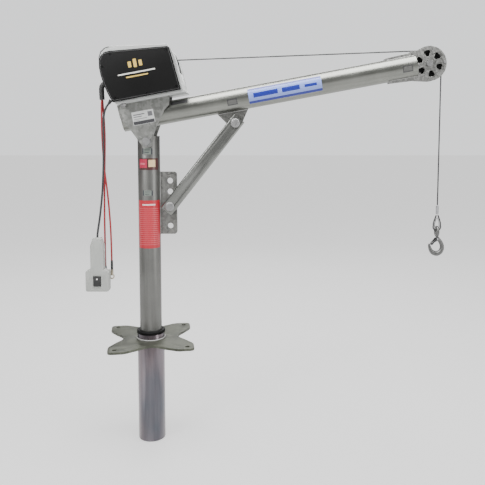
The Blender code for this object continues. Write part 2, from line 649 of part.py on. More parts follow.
def rope_winding():
    """The rope's turns on the drum, as one ribbed sleeve."""
    turns = 9
    pitch = 0.0992 / turns
    outer = []
    for i in range(turns):
        top = 0.0496 - i * pitch
        outer += [(DRUM_ROPE_R + 0.0009, top), (DRUM_ROPE_R + ROPE_R, top - pitch / 2)]
    outer.append((DRUM_ROPE_R + 0.0009, -0.0496))
    inner = CORE_R + GAP
    turned("rope_winding", "wire_rope", drum_frame, outer + [(inner, -0.0496), (inner, 0.0496)],
           rotation=ALONG_Y, steps=24, ring=True)


rope_winding()
STAGE_1 = -0.067
STAGE_2 = -0.078
GEAR_T = 0.007
plate("drum_gear", "steel", drum_frame,
      [gear_outline(BIG_TEETH, (0, 0), MID_AT), circle((0, 0), DRUM_SHAFT_R + GAP)], GEAR_T, STAGE_2)


def mid_gear():
    """A compound gear: a wheel driven by the motor, and the pinion that drives the drum's wheel."""
    wheel = as_mesh(plate("mid_gear", "steel", mid_frame,
                          [gear_outline(BIG_TEETH, (0, 0), MOTOR_AT)], GEAR_T, STAGE_1))
    pinion_phase = MID_AT + math.pi + math.pi / SMALL_TEETH
    pinion = as_mesh(plate("mid_pinion", "steel", mid_frame,
                           [gear_outline(SMALL_TEETH, (0, 0), pinion_phase)], 0.014, -0.0755, cutters))
    combine(wheel, pinion, "UNION")
    axle = turned("mid_axle", "steel", mid_frame, rod_profile(0.006, -0.087, -0.0565), rotation=ALONG_Y,
                  steps=20, collection=cutters)
    combine(wheel, axle, "UNION")


mid_gear()


def motor_rotor():
    """The armature, its shaft and the pinion that is cut on the shaft's end."""
    rotor = turned("motor_rotor", "steel", rotor_frame,
                   [(0, 0.048), (0.005, 0.048), (0.005, 0.040), (0.019, 0.040), (0.019, -0.040),
                    (0.005, -0.040), (0.005, -0.073), (0, -0.073)], rotation=ALONG_Y, steps=24)
    phase = MOTOR_AT + math.pi + math.pi / SMALL_TEETH
    pinion = as_mesh(plate("motor_pinion", "steel", rotor_frame, [gear_outline(SMALL_TEETH, (0, 0), phase)],
                           0.009, STAGE_1, cutters))
    combine(rotor, pinion, "UNION")


motor_rotor()

# ---------------------------------------------------------------- sheave and wire rope

sheave_world = boom_point(SHEAVE[0], 0, SHEAVE[1])
sheave_frame = axis_empty("sheave_axis", sheave_world, tilt=BOOM_ANGLE)
turned("sheave", "black_plastic", sheave_frame,
       [(SHEAVE_BOLT_R + 0.0025, 0.0095), (0.0455, 0.0095), (0.0462, 0.008), (0.0408, 0.0025), (0.0403, 0),
        (0.0408, -0.0025), (0.0462, -0.008), (0.0455, -0.0095), (SHEAVE_BOLT_R + 0.0025, -0.0095)],
       rotation=ALONG_Y, steps=32, ring=True)
turned("sheave_bush", "brass", sheave_frame,
       tube_profile(SHEAVE_BOLT_R + 0.0022, SHEAVE_BOLT_R + GAP, -0.0093, 0.0093), rotation=ALONG_Y,
       steps=24, ring=True)


def rope_run():
    """From the drum's top, straight to the sheave and over it to where the rope drops."""
    a, b = Vector(DRUM), Vector(SHEAVE)
    along = b - a
    lean = math.asin((SHEAVE_ROPE_R - DRUM_ROPE_R) / along.length)
    up = math.atan2(along.y, along.x) + math.pi / 2 + lean
    start = a + Vector((math.cos(up), math.sin(up))) * DRUM_ROPE_R
    start += Vector((math.sin(up), -math.cos(up))) * RUN_START
    points = [(start.x, 0, start.y)]
    for i in range(1, 6):
        share = i / 6
        end = b + Vector((math.cos(up), math.sin(up))) * SHEAVE_ROPE_R
        here = start.lerp(end, share)
        points.append((here.x, 0, here.y))
    for u, v in arc(SHEAVE, SHEAVE_ROPE_R, math.degrees(up), -math.degrees(BOOM_ANGLE), 15):
        points.append((u, 0, v))
    wire("rope_run", "wire_rope", boom, points, ROPE_R)


rope_run()
rope_x = sheave_world.x + SHEAVE_ROPE_R
hang = axis_empty("rope_hang_axis", sheave_world)
line = axis_empty("hoist_axis", (rope_x, 0, 0))
drop_heights = [-GAP] + [(ROPE_DROP_END - sheave_world.z) * i / 6 for i in range(1, 7)]
wire("rope_drop", "wire_rope", hang, [(SHEAVE_ROPE_R, 0, z) for z in drop_heights], ROPE_R)

# ---------------------------------------------------------------- ferrule, thimble and hook

turned("rope_ferrule", "steel", line,
       [(0, FERRULE[1]), (0.0035, FERRULE[1]), (0.0050, FERRULE[1] - 0.003), (0.0050, FERRULE[0] + 0.003),
        (0.0040, FERRULE[0]), (0, FERRULE[0])], steps=16)


def eye_path(width, low, high, count):
    """A teardrop, round below and narrow at its top, anticlockwise from the right of the top."""
    centre = low + width
    points = arc((0, centre), width, 165, 375, count)
    rise = [(width * 0.90, centre + (high - centre) * 0.35), (width * 0.62, centre + (high - centre) * 0.65),
            (width * 0.22, high)]
    left = [(-x, z) for x, z in rise[::-1]]
    return [(x, 0, z) for x, z in left + points + rise]


THIMBLE_LOW = EYE_Z + EYE_R - EYE_WIRE - GAP - 0.0014
wire("rope_eye", "wire_rope", line, eye_path(0.0125, THIMBLE_LOW - 0.0053, FERRULE[0] - 0.0028, 14), ROPE_R,
     cyclic=True)
wire("thimble", "steel", line, eye_path(0.0078, THIMBLE_LOW, FERRULE[0] - 0.0115, 14), 0.0012, cyclic=True)


def hook():
    """A forged eye hook: the eye stands across the hook's own plane."""
    path = [(0, 0.3505), (0.0045, 0.3445), (0.0120, 0.3350), (0.0175, 0.3240), (0.0187, 0.3120),
            (0.0140, 0.3010), (0.0040, 0.2945), (-0.0070, 0.2953), (-0.0160, 0.3015), (-0.0212, 0.3110),
            (-0.0235, 0.3200), (-0.0250, 0.3270)]
    radii = [0.0052, 0.0058, 0.0064, 0.0070, 0.0077, 0.0083, 0.0086, 0.0080, 0.0068, 0.0055, 0.0042, 0.0022]
    body = as_mesh(wire("hook", "steel", line, [(x, 0, z) for x, z in path], 0.008, 3, radii))
    ring = [(0, EYE_R * math.cos(2 * math.pi * i / 20), EYE_Z + EYE_R * math.sin(2 * math.pi * i / 20))
            for i in range(20)]
    combine(body, as_mesh(wire("hook_eye", "steel", line, ring, EYE_WIRE, cyclic=True)), "UNION")
    hole = turned("latch_hole", "steel", line, rod_profile(0.0017, -0.012, 0.012),
                  (LATCH_PIN[0] + 0.0075, 0, LATCH_PIN[1] + 0.003), ALONG_Y, 12, collection=cutters)
    combine(body, hole, "DIFFERENCE")


hook()
latch_axis = (LATCH_PIN[0] + 0.0075, LATCH_PIN[1] + 0.003)
latch_frame = axis_empty("latch_axis", (rope_x + latch_axis[0], 0, latch_axis[1]))


def hook_latch():
    """A folded sheet latch, with an ear on each side of the hook's neck."""
    outer = [(0.0036, -0.0018), (0.0030, 0.0030), (-0.0040, 0.0035), (-0.0185, -0.0135), (-0.0200, -0.0195),
             (-0.0165, -0.0185), (-0.0100, -0.0105), (0.0, -0.0045)]
    hole = circle((0, 0), 0.0018, 12)
    shape = as_mesh(plate("hook_latch", "bright_zinc", latch_frame, [outer, hole], 0.0180))
    slot = box("latch_slot", "steel", latch_frame, (-0.0160, -0.0072, -0.03), (0.01, 0.0072, 0.0200),
               collection=cutters)
    combine(shape, slot, "DIFFERENCE")


hook_latch()
turned("latch_pin", "steel", line,
       [(0, 0.0112), (0.0028, 0.0112), (0.0028, 0.0093), (0.0014, 0.0093), (0.0014, -0.0093),
        (0.0028, -0.0093), (0.0028, -0.0112), (0, -0.0112)], (latch_axis[0], 0, latch_axis[1]), ALONG_Y, 12)

# ---------------------------------------------------------------- power leads and pendant

lead_mouth = boom_point(*LEAD_MOUTH)
gland_mouth = boom_point(*GLAND_MOUTH)
leads = axis_empty("leads_axis", lead_mouth)
pendant = axis_empty("pendant_axis", gland_mouth)
wire("lead_boot", "black_rubber", boom,
     smooth_route([(-0.0965, -0.040, 0.206), (-0.1030, -0.040, 0.2035), (-0.1085, -0.040, 0.1960),
                   (-0.1120, -0.040, 0.1800), (-0.1150, -0.040, 0.1575)], 0.009), 0.0085)


def pendant_gland():
    """A tapered strain relief at the housing's rear lower corner."""
    end = Vector(GLAND_MOUTH)
    start = Vector((-0.0812, -0.070, 0.1484))
    points = [start.lerp(end, i / 3) for i in range(4)]
    wire("pendant_gland", "black_rubber", boom, points, 0.0062, radii=[0.0062, 0.0060, 0.0054, 0.0048])


pendant_gland()


def relative(points, origin):
    return [Vector(p) - origin for p in points]


for name, route in LEAD_ROUTES.items():
    wire(name, "red_rubber", leads, relative(smooth_route(route, 0.018), lead_mouth), LEAD_R)
    end = Vector(route[-1]) - lead_mouth
    rim = arc((0, -0.024), 0.0085, 118, 422, 16)
    lug = [(-0.0045, 0.0), (-0.0045, -0.016)] + rim + [(0.0045, -0.016), (0.0045, 0.0)]
    eye = circle((0, -0.024), 0.0042, 14)
    loops = [[(x + end.x, z + end.z - GAP) for x, z in loop] for loop in (lug, eye)]
    plate(name.replace("lead", "lug"), "brass", leads, loops, 0.0035, end.y)

wire("pendant_cord", "black_rubber", pendant, relative(smooth_route(CORD_ROUTE, 0.018), gland_mouth), CORD_R)


def handset():
    """A T-shaped handset in two halves: it hangs by the cord at its handle's end, head downwards."""
    start = HANDSET_TOP - gland_mouth
    neck = HANDLE_LONG - 0.004
    outline = [(0.010, -GAP), (0.0135, -0.004), (HANDLE_HALF, -0.026), (HANDLE_HALF, -neck),
               (0.034, -neck - 0.003), (HANDSET_HEAD_HALF, -neck - 0.007)]
    outline += arc((HANDSET_HEAD_HALF - 0.006, -HANDSET_LONG + 0.006), 0.006, 0, -90, 4)
    full = outline + [(-x, z) for x, z in outline[::-1]]
    full = [(x + start.x, z + start.z) for x, z in full][::-1]
    half_deep = HANDSET_DEEP / 2
    for name, low, high in (("handset_front", -half_deep, -GAP), ("handset_back", GAP, half_deep)):
        middle_y = start.y + (low + high) / 2
        half = as_mesh(plate(name, "light_plastic", pendant, [full], high - low, middle_y))
        rounding = half.modifiers.new("Bevel", "BEVEL")
        rounding.width = 0.0018
        rounding.segments = 2
        rounding.limit_method = "ANGLE"
        rounding.angle_limit = math.radians(50)
        if name == "handset_front":
            x, z = start.x, start.z - ROCKER_DROP
            front = start.y + low
            pocket = box("rocker_pocket", "steel", pendant,
                         (x - ROCKER_HALF[0] - 0.0008, front - 0.01, z - ROCKER_HALF[1] - 0.0008),
                         (x + ROCKER_HALF[0] + 0.0008, front + 0.0085, z + ROCKER_HALF[1] + 0.0008),
                         collection=cutters)
            combine(half, pocket, "DIFFERENCE")


handset()
rocker_at = HANDSET_TOP + Vector((0, -HANDSET_DEEP / 2 + 0.003, -ROCKER_DROP))
rocker_frame = axis_empty("rocker_axis", rocker_at)


def rocker():
    """A rocker seen from its side is a shallow V: either end is pressed in."""
    half_x, half_z = ROCKER_HALF
    side = [(-0.0062, -half_z), (0.0008, -half_z), (0.0030, 0), (0.0008, half_z), (-0.0062, half_z),
            (-0.0046, 0)]
    made = link(outline_curve("rocker", [side], 2 * half_x), "black_plastic")
    place(made, rocker_frame, (0, 0, 0), (math.pi / 2, 0, math.pi / 2))


rocker()
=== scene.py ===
import math
import random

import bpy
from mathutils import Matrix, Vector


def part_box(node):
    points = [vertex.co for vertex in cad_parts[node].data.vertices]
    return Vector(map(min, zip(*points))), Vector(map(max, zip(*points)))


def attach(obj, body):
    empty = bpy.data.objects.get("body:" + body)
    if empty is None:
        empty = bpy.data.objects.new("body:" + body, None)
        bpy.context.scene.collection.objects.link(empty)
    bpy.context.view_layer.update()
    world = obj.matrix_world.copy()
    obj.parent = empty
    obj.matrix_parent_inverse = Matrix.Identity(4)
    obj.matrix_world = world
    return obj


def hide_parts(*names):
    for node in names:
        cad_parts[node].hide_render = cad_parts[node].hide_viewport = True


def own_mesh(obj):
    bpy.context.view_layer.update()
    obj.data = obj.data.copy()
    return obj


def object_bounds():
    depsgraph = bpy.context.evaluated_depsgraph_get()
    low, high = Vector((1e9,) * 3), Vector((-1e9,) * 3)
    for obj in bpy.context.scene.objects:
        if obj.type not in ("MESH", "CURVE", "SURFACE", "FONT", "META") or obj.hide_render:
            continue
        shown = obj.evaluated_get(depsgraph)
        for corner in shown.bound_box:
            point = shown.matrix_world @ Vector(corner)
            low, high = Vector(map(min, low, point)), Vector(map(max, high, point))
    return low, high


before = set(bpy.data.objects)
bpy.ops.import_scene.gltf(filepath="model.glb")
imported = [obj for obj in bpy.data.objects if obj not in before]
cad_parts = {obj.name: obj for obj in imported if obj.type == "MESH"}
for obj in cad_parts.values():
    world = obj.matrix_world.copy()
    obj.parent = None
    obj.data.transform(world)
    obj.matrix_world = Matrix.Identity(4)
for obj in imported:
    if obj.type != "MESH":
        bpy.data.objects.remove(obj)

cad_box = [list(corner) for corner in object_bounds()]
random.seed(4)

# ---------------------------------------------------------------- camera, floor and light
# A level look at the crane from its winch-cable side, with the boom running off to the right.
# The sleeve's foot rests on a pale floor. Large soft lamps stand above, behind and to both sides.

LOOK_DOWN = 4.75
BACKDROP_SEEN = 1.30
BACKDROP_LIGHT = 0.22
FLOOR_GLOW = 1.05
FLOOR_GAP = 0.002

camera_data = bpy.data.cameras.new("camera")
camera_data.lens = 44.8
camera_data.sensor_width = 36
camera_data.shift_y = -0.114
camera = bpy.data.objects.new("camera", camera_data)
camera.location = (0.31, -2.0, 0.683)
camera.rotation_euler = (math.radians(90 - LOOK_DOWN), 0, 0)
bpy.context.scene.collection.objects.link(camera)
bpy.context.scene.camera = camera

world = bpy.data.worlds.new("studio")
world.use_nodes = True
world.node_tree.nodes["Background"].inputs["Color"].default_value = (0.96, 0.97, 0.98, 1)
rays = world.node_tree.nodes.new("ShaderNodeLightPath")
level = world.node_tree.nodes.new("ShaderNodeMapRange")
level.inputs["To Min"].default_value = BACKDROP_LIGHT
level.inputs["To Max"].default_value = BACKDROP_SEEN
world.node_tree.links.new(rays.outputs["Is Camera Ray"], level.inputs["Value"])
world.node_tree.links.new(level.outputs[0], world.node_tree.nodes["Background"].inputs["Strength"])
bpy.context.scene.world = world

for lamp_name, spot, aim, width, height, power in (
        ("key_lamp", (-1.8, -2.2, 2.2), (0.2, 0, 0.6), 1.0, 1.8, 75),
        ("fill_lamp", (2.8, -1.6, 1.2), (0.3, 0, 0.6), 0.8, 2.2, 40),
        ("top_lamp", (0.4, -0.4, 3.0), (0.4, 0, 0.7), 3.4, 2.2, 300),
        ("back_lamp", (0.2, 2.8, 1.8), (0.3, 0, 0.5), 2.4, 1.2, 45)):
    lamp_data = bpy.data.lights.new(lamp_name, "AREA")
    lamp_data.shape = "RECTANGLE"
    lamp_data.size = width
    lamp_data.size_y = height
    lamp_data.energy = power
    lamp = bpy.data.objects.new(lamp_name, lamp_data)
    lamp.location = spot
    lamp.rotation_euler = (Vector(aim) - Vector(spot)).to_track_quat("-Z", "Y").to_euler()
    bpy.context.scene.collection.objects.link(lamp)


class Flow:
    """A socket of a material: arithmetic on it adds Math nodes, and node() adds any other kind."""

    def __init__(self, tree, socket):
        self.tree = tree
        self.socket = socket

    def node(self, kind, settings=None, values=None, out=0):
        made = self.tree.nodes.new("ShaderNode" + kind)
        for key, value in (settings or {}).items():
            if key == "stops":
                for stop in range(len(value) - 2):
                    made.color_ramp.elements.new(0.5)
                for element, (place, colour) in zip(made.color_ramp.elements, value):
                    element.position = place
                    element.color = (*colour, 1)
            else:
                setattr(made, key, value)
        for key, value in (values or {}).items():
            if isinstance(value, Flow):
                self.tree.links.new(value.socket, made.inputs[key])
            else:
                made.inputs[key].default_value = value
        return Flow(self.tree, made.outputs[out])

    def maths(self, operation, *values):
        return self.node("Math", {"operation": operation}, dict(enumerate(values)))

    def __add__(self, other):
        return self.maths("ADD", self, other)

    def __sub__(self, other):
        return self.maths("SUBTRACT", self, other)

    def __rsub__(self, other):
        return self.maths("SUBTRACT", other, self)

    def __mul__(self, other):
        return self.maths("MULTIPLY", self, other)

    def __lt__(self, other):
        return self.maths("LESS_THAN", self, other)

    def __gt__(self, other):
        return self.maths("GREATER_THAN", self, other)

    __radd__ = __add__
    __rmul__ = __mul__

    def between(self, low, high):
        return (self > low) * (self < high)

    def blend(self, first, second):
        """The first colour where this is 0, the second where it is 1."""
        colours = [(*c, 1) if isinstance(c, tuple) else c for c in (first, second)]
        return self.node("Mix", {"data_type": "RGBA"}, {0: self, 6: colours[0], 7: colours[1]}, out=2)

    def noise(self, scale, detail=3.0, stretch=(1, 1, 1)):
        place = self.node("Mapping", None, {"Vector": self, "Scale": stretch})
        return self.node("TexNoise", None, {"Vector": place, "Scale": scale, "Detail": detail})

    def feed(self, shader, name):
        self.tree.links.new(self.socket, shader.inputs[name])
        return self

    def bump(self, shader, strength, distance):
        raised = self.node("Bump", None, {"Strength": strength, "Distance": distance, "Height": self})
        return raised.feed(shader, "Normal")


def new_finish(name, metallic=0.0, **sockets):
    """A material, its shader, and the piece's own coordinates as a Flow."""
    made = bpy.data.materials.new(name)
    made.use_nodes = True
    shader = made.node_tree.nodes["Principled BSDF"]
    shader.inputs["Metallic"].default_value = metallic
    for key, value in sockets.items():
        shader.inputs[key.replace("_", " ")].default_value = value
    coords = made.node_tree.nodes.new("ShaderNodeTexCoord")
    return made, shader, Flow(made.node_tree, coords.outputs["Object"])


def floor_finish():
    made, shader, place = new_finish("floor_paper")
    cloud = place.noise(1.5, 2.0)
    cloud.blend((0.20, 0.20, 0.20), (0.23, 0.23, 0.23)).feed(shader, "Base Color")
    (0.75 + cloud * 0.1).feed(shader, "Roughness")
    shader.inputs["Emission Color"].default_value = (1, 1, 1, 1)
    shader.inputs["Emission Strength"].default_value = FLOOR_GLOW
    return made


bpy.ops.object.select_all(action="DESELECT")
bpy.ops.mesh.primitive_plane_add(size=60, location=(0.3, 2.0, cad_box[0][2] - FLOOR_GAP))
floor = bpy.context.object
floor.name = "floor"
floor.data.materials.append(floor_finish())

# ---------------------------------------------------------------- power leads
# Two limp red battery cables, 6 mm over their insulation, hang from the rubber boot at the back of
# the winch. Each ends in a crimped ring terminal with a black heat-shrunk collar.


ROUTE_STEPS = 24


def smooth_route(points, spacing):
    """Evenly spaced points on a Catmull-Rom curve through the given points."""
    known = [Vector(p) for p in points]
    known = [known[0] * 2 - known[1]] + known + [known[-1] * 2 - known[-2]]
    fine = []
    for a, b, c, d in zip(known, known[1:], known[2:], known[3:]):
        for i in range(ROUTE_STEPS):
            t = i / ROUTE_STEPS
            fine.append(0.5 * (2 * b + (c - a) * t + (2 * a - 5 * b + 4 * c - d) * t**2
                               + (3 * b - a - 3 * c + d) * t**3))
    fine.append(known[-2])
    lengths = [0.0]
    for a, b in zip(fine, fine[1:]):
        lengths.append(lengths[-1] + (b - a).length)
    count = max(2, round(lengths[-1] / spacing))
    even = []
    j = 0
    for i in range(count + 1):
        want = lengths[-1] * i / count
        while j < len(fine) - 2 and lengths[j + 1] < want:
            j += 1
        share = (want - lengths[j]) / max(lengths[j + 1] - lengths[j], 1e-9)
        even.append(fine[j].lerp(fine[j + 1], min(share, 1)))
    return even


def round_bar(name, points, radius, radii=None, cyclic=False, sides=3):
    """A round bar or cable as one open curve with closed ends; radii vary it point by point."""
    curve = bpy.data.curves.new(name, "CURVE")
    curve.dimensions = "3D"
    curve.bevel_depth = radius
    curve.bevel_resolution = sides
    curve.use_fill_caps = not cyclic
    spline = curve.splines.new("POLY")
    spline.points.add(len(points) - 1)
    for i, point in enumerate(points):
        spline.points[i].co = (*point, 1)
        spline.points[i].radius = radii[i] / radius if radii else 1
    spline.use_cyclic_u = cyclic
    spline.use_smooth = True
    made = bpy.data.objects.new(name, curve)
    bpy.context.scene.collection.objects.link(made)
    return made


def insulation(name, dark, light, rough, grain):
    """Soft cable insulation: slightly uneven in colour and gloss, with fine moulded grain."""
    made, shader, place = new_finish(name, Coat_Weight=0.15, Coat_Roughness=0.35)
    cloud = place.noise(38, 3.0)
    cloud.blend(dark, light).feed(shader, "Base Color")
    (rough + place.noise(160, 2.0) * 0.16).feed(shader, "Roughness")
    place.noise(grain, 2.0).bump(shader, 0.12, 0.0004)
    return made


def finish_piece(piece, finish, body, *nodes, slot=None):
    """Gives a piece its material, the body it moves with and the CAD pieces it stands for."""
    piece.data.materials.clear()
    piece.data.materials.append(finish)
    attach(piece, body)
    if nodes:
        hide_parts(*nodes)
    return piece


def reshape(piece, kind, **settings):
    """Adds one modifier to the piece, with these settings, and applies it."""
    change = piece.modifiers.new(kind.lower(), kind)
    for key, value in settings.items():
        setattr(change, key, value)
    bpy.context.view_layer.objects.active = piece
    bpy.ops.object.modifier_apply(modifier=change.name)


def break_edges(piece, width, segments, angle):
    reshape(piece, "BEVEL", width=width, segments=segments, limit_method="ANGLE",
            angle_limit=math.radians(angle))


def clean_copy(name, node, edge, segments=2, angle=28):
    """The CAD piece's own shape as one clean skin, with its sharp edges broken by a small bevel."""
    bpy.ops.object.select_all(action="DESELECT")
    piece = bpy.data.objects.new(name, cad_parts[node].data.copy())
    bpy.context.scene.collection.objects.link(piece)
    bpy.context.view_layer.objects.active = piece
    piece.select_set(True)
    bpy.ops.object.mode_set(mode="EDIT")
    bpy.ops.mesh.select_all(action="SELECT")
    bpy.ops.mesh.remove_doubles(threshold=0.00002)
    bpy.ops.mesh.dissolve_limited(angle_limit=math.radians(0.8))
    bpy.ops.mesh.normals_make_consistent(inside=False)
    bpy.ops.object.mode_set(mode="OBJECT")
    break_edges(piece, edge, segments, angle)
    bpy.ops.object.shade_smooth_by_angle(angle=math.radians(angle + 2))
    return piece


def skinned(name, node, edge, finish, body, slot, segments=2, angle=28):
    """The clean copy of one CAD piece, finished, and standing for it."""
    return finish_piece(clean_copy(name, node, edge, segments, angle), finish, body, node, slot=slot)


def tinned_copper():
    """The ring terminals' metal: tin with copper showing through where it is worn."""
    made, shader, place = new_finish("lug_metal", metallic=0.9)
    place.noise(60, 3.0).blend((0.52, 0.45, 0.33), (0.66, 0.60, 0.50)).feed(shader, "Base Color")
    (0.28 + place.noise(220, 2.0) * 0.2).feed(shader, "Roughness")
    return made


LEAD_RADIUS = 0.003
LEAD_MOUTH_Z = 0.8016
ROUTE_SPACING = 0.012
COLLAR_LONG = 0.030
COLLAR_STEPS = 14


def terminal_collar(name, end):
    """Heat-shrunk sleeving up from the cable's end: fatter than the cable, ribbed by the crimps below."""
    points = [end + Vector((0, 0, COLLAR_LONG * (1 - i / COLLAR_STEPS))) for i in range(COLLAR_STEPS + 1)]
    swell = [LEAD_RADIUS * (1.12 + 0.22 * min(1, i / 3) + 0.05 * (i % 4 == 2))
             for i in range(COLLAR_STEPS + 1)]
    return round_bar(name, points, LEAD_RADIUS, swell, sides=4)


LEAD_ROUTES = {
    "red_lead_left": [(-0.1418, -0.0445, 0.7996), (-0.1432, -0.0445, 0.7800), (-0.1437, -0.0445, 0.7300),
                      (-0.1430, -0.0445, 0.6730), (-0.1380, -0.0447, 0.5850), (-0.1285, -0.0450, 0.4960),
                      (-0.1222, -0.0450, 0.4100), (-0.1197, -0.0450, 0.3345), (-0.1190, -0.0450, 0.2500)],
    "red_lead_right": [(-0.1416, -0.0355, 0.7996), (-0.1405, -0.0355, 0.7800), (-0.1375, -0.0355, 0.7300),
                       (-0.1362, -0.0355, 0.6730), (-0.1385, -0.0353, 0.5900), (-0.1412, -0.0350, 0.5000),
                       (-0.1424, -0.0350, 0.4200), (-0.1424, -0.0350, 0.3507), (-0.1420, -0.0350, 0.2300)],
}
red_insulation = insulation("red_insulation", (0.20, 0.004, 0.008), (0.33, 0.010, 0.015), 0.34, 700)
collar_rubber = insulation("collar_rubber", (0.012, 0.012, 0.013), (0.03, 0.03, 0.03), 0.45, 500)
lug_metal = tinned_copper()
for lead_name, route in LEAD_ROUTES.items():
    route = [(route[0][0], route[0][1], LEAD_MOUTH_Z)] + route
    run = smooth_route(route, ROUTE_SPACING)
    lead = finish_piece(round_bar(lead_name + "_cable", run, LEAD_RADIUS, sides=4), red_insulation, "leads",
                        lead_name, slot="red_rubber")
    lug_node = lead_name.replace("lead", "lug")
    ring = skinned(lug_node + "_ring", lug_node, 0.0005, lug_metal, "leads", "brass")
    collar = finish_piece(terminal_collar(lug_node + "_collar", run[-1]), collar_rubber, "leads",
                          slot="black_rubber")

# ---------------------------------------------------------------- pendant cord
# A single black multicore cord, 6.8 mm thick, from the gland under the winch's rear corner down to the
# handset, which hangs from it.

CORD_RADIUS = 0.0034
CORD_ROUTE = [(-0.1149, -0.0700, 0.7880), (-0.1166, -0.0700, 0.7857), (-0.1225, -0.0700, 0.7770),
              (-0.1290, -0.0700, 0.7600), (-0.1322, -0.0700, 0.7300), (-0.1335, -0.0700, 0.6700),
              (-0.1350, -0.0700, 0.5900), (-0.1402, -0.0700, 0.5049), (-0.1490, -0.0700, 0.4300),
              (-0.1570, -0.0700, 0.3800), (-0.1590, -0.0700, 0.3603)]
cord_rubber = insulation("cord_rubber", (0.012, 0.012, 0.013), (0.026, 0.026, 0.027), 0.5, 600)
run = smooth_route(CORD_ROUTE, ROUTE_SPACING)
cord = finish_piece(round_bar("pendant_cable", run, CORD_RADIUS, sides=4), cord_rubber, "pendant",
                    "pendant_cord", slot="black_rubber")

# ---------------------------------------------------------------- pendant handset
# A light grey two-part moulding, screwed together round the cord: a narrow grip that opens into a
# square head, with a black rocker switch let into the head's face.


def moulded(name, dark, light, rough, grain=900, **sockets):
    """Moulded plastic: a fine spark-eroded texture and slight cloudiness from handling."""
    made, shader, place = new_finish(name, **sockets)
    cloud = place.noise(14, 4.0)
    (cloud * 0.7 + place.noise(90, 2.0) * 0.3).blend(dark, light).feed(shader, "Base Color")
    (rough + cloud * 0.14).feed(shader, "Roughness")
    place.noise(grain, 2.0).bump(shader, 0.25, 0.00035)
    return made


def seat(piece, name, matrix):
    """Puts a piece in place, leaving its object at the origin and its place in its mesh."""
    piece.name = name
    piece.data.name = name
    piece.data.transform(matrix @ piece.matrix_basis)
    piece.matrix_basis = Matrix()
    return piece


def lathe(name, profile, matrix=Matrix(), sides=64, ring=False, edge=0.0):
    """A turned piece: one circle drawn out ring by ring through (radius, height) points up local Z."""
    bpy.ops.object.select_all(action="DESELECT")
    radius, height = profile[0]
    bpy.ops.mesh.primitive_circle_add(vertices=sides, radius=radius, fill_type="NOTHING" if ring else "NGON",
                                      location=(0, 0, height))
    piece = bpy.context.object
    bpy.ops.object.mode_set(mode="EDIT")
    bpy.ops.mesh.select_all(action="SELECT")
    for wide, high in list(profile[1:]) + (list(profile[:1]) if ring else []):
        bpy.ops.mesh.extrude_region_move(TRANSFORM_OT_translate={"value": (0, 0, high - height)})
        bpy.ops.transform.resize(value=(wide / radius, wide / radius, 1), center_override=(0, 0, high))
        radius, height = wide, high
    bpy.ops.mesh.select_all(action="SELECT")
    bpy.ops.mesh.remove_doubles(threshold=0.00001)
    bpy.ops.mesh.normals_make_consistent(inside=False)
    bpy.ops.object.mode_set(mode="OBJECT")
    if edge:
        break_edges(piece, edge, 2, 25)
    bpy.ops.object.shade_smooth_by_angle(angle=math.radians(32))
    return seat(piece, name, matrix)


def joined(name, pieces):
    """Several pieces as one mesh object."""
    bpy.ops.object.select_all(action="DESELECT")
    for piece in pieces:
        piece.select_set(True)
    bpy.context.view_layer.objects.active = pieces[0]
    if any(piece.type == "CURVE" for piece in pieces):
        bpy.ops.object.convert(target="MESH")
    if len(pieces) > 1:
        bpy.ops.object.join()
    pieces[0].name = name
    pieces[0].data.name = name
    return pieces[0]


FACING_OUT = Matrix.Rotation(math.pi / 2, 4, "X")
ACROSS = Matrix.Rotation(-math.pi / 2, 4, "X")
grip_plastic = moulded("grip_plastic", (0.29, 0.30, 0.285), (0.38, 0.39, 0.37), 0.38)
switch_plastic = moulded("switch_plastic", (0.012, 0.012, 0.012), (0.028, 0.028, 0.028), 0.3)
white_ink = moulded("white_ink", (0.75, 0.75, 0.74), (0.85, 0.85, 0.84), 0.4)
screw_zinc = moulded("screw_zinc", (0.30, 0.30, 0.31), (0.44, 0.44, 0.45), 0.3, Metallic=0.9)
HANDSET_TOP = Vector((-0.1590, -0.0700, 0.3600))
HEAD_SCREWS = [(-0.029, -0.168), (0.029, -0.168), (-0.0155, -0.030), (0.0155, -0.030)]
for half in ("handset_front", "handset_back"):
    skinned(half + "_shell", half, 0.0006, grip_plastic, "pendant", "light_plastic")
screws = []
for x, z in HEAD_SCREWS:
    spot = Matrix.Translation(HANDSET_TOP + Vector((x, 0.0148, z))) @ ACROSS
    screws.append(lathe("screw", [(0.0028, -0.001), (0.0028, 0.0001), (0.0012, 0.0003), (0.0011, -0.0006)],
                        spot, 20))
finish_piece(joined("handset_screws", screws), screw_zinc, "pendant", slot="steel")
GRIP_SIDE = 0.0213
ribs = []
for i in range(6):
    for x in (-GRIP_SIDE, GRIP_SIDE):
        span = [HANDSET_TOP + Vector((x, -0.0095 + 0.019 * k / 4, -0.042 - 0.009 * i)) for k in range(5)]
        ribs.append(round_bar("rib", span, 0.0012, sides=2))
finish_piece(joined("grip_ribs", ribs), grip_plastic, "pendant", slot="light_plastic")
skinned("rocker_cap", "rocker", 0.0007, switch_plastic, "rocker", "black_plastic", angle=10)
rocker_low, rocker_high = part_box("rocker")
mark_at = Vector((rocker_high.x - 0.012, rocker_low.y + 0.0011, rocker_high.z - 0.0085))
mark = lathe("rocker_mark", [(0.0026, 0), (0.0026, 0.0004), (0.0022, 0.0005)],
             Matrix.Translation(mark_at) @ FACING_OUT, 24)
finish_piece(mark, white_ink, "rocker", slot="light_plastic")

# ---------------------------------------------------------------- base plate
# A laser-cut 8 mm steel plate, zinc plated, with a bolt hole in each of its four arms. It is welded
# all round to the sleeve that drops into the deck.


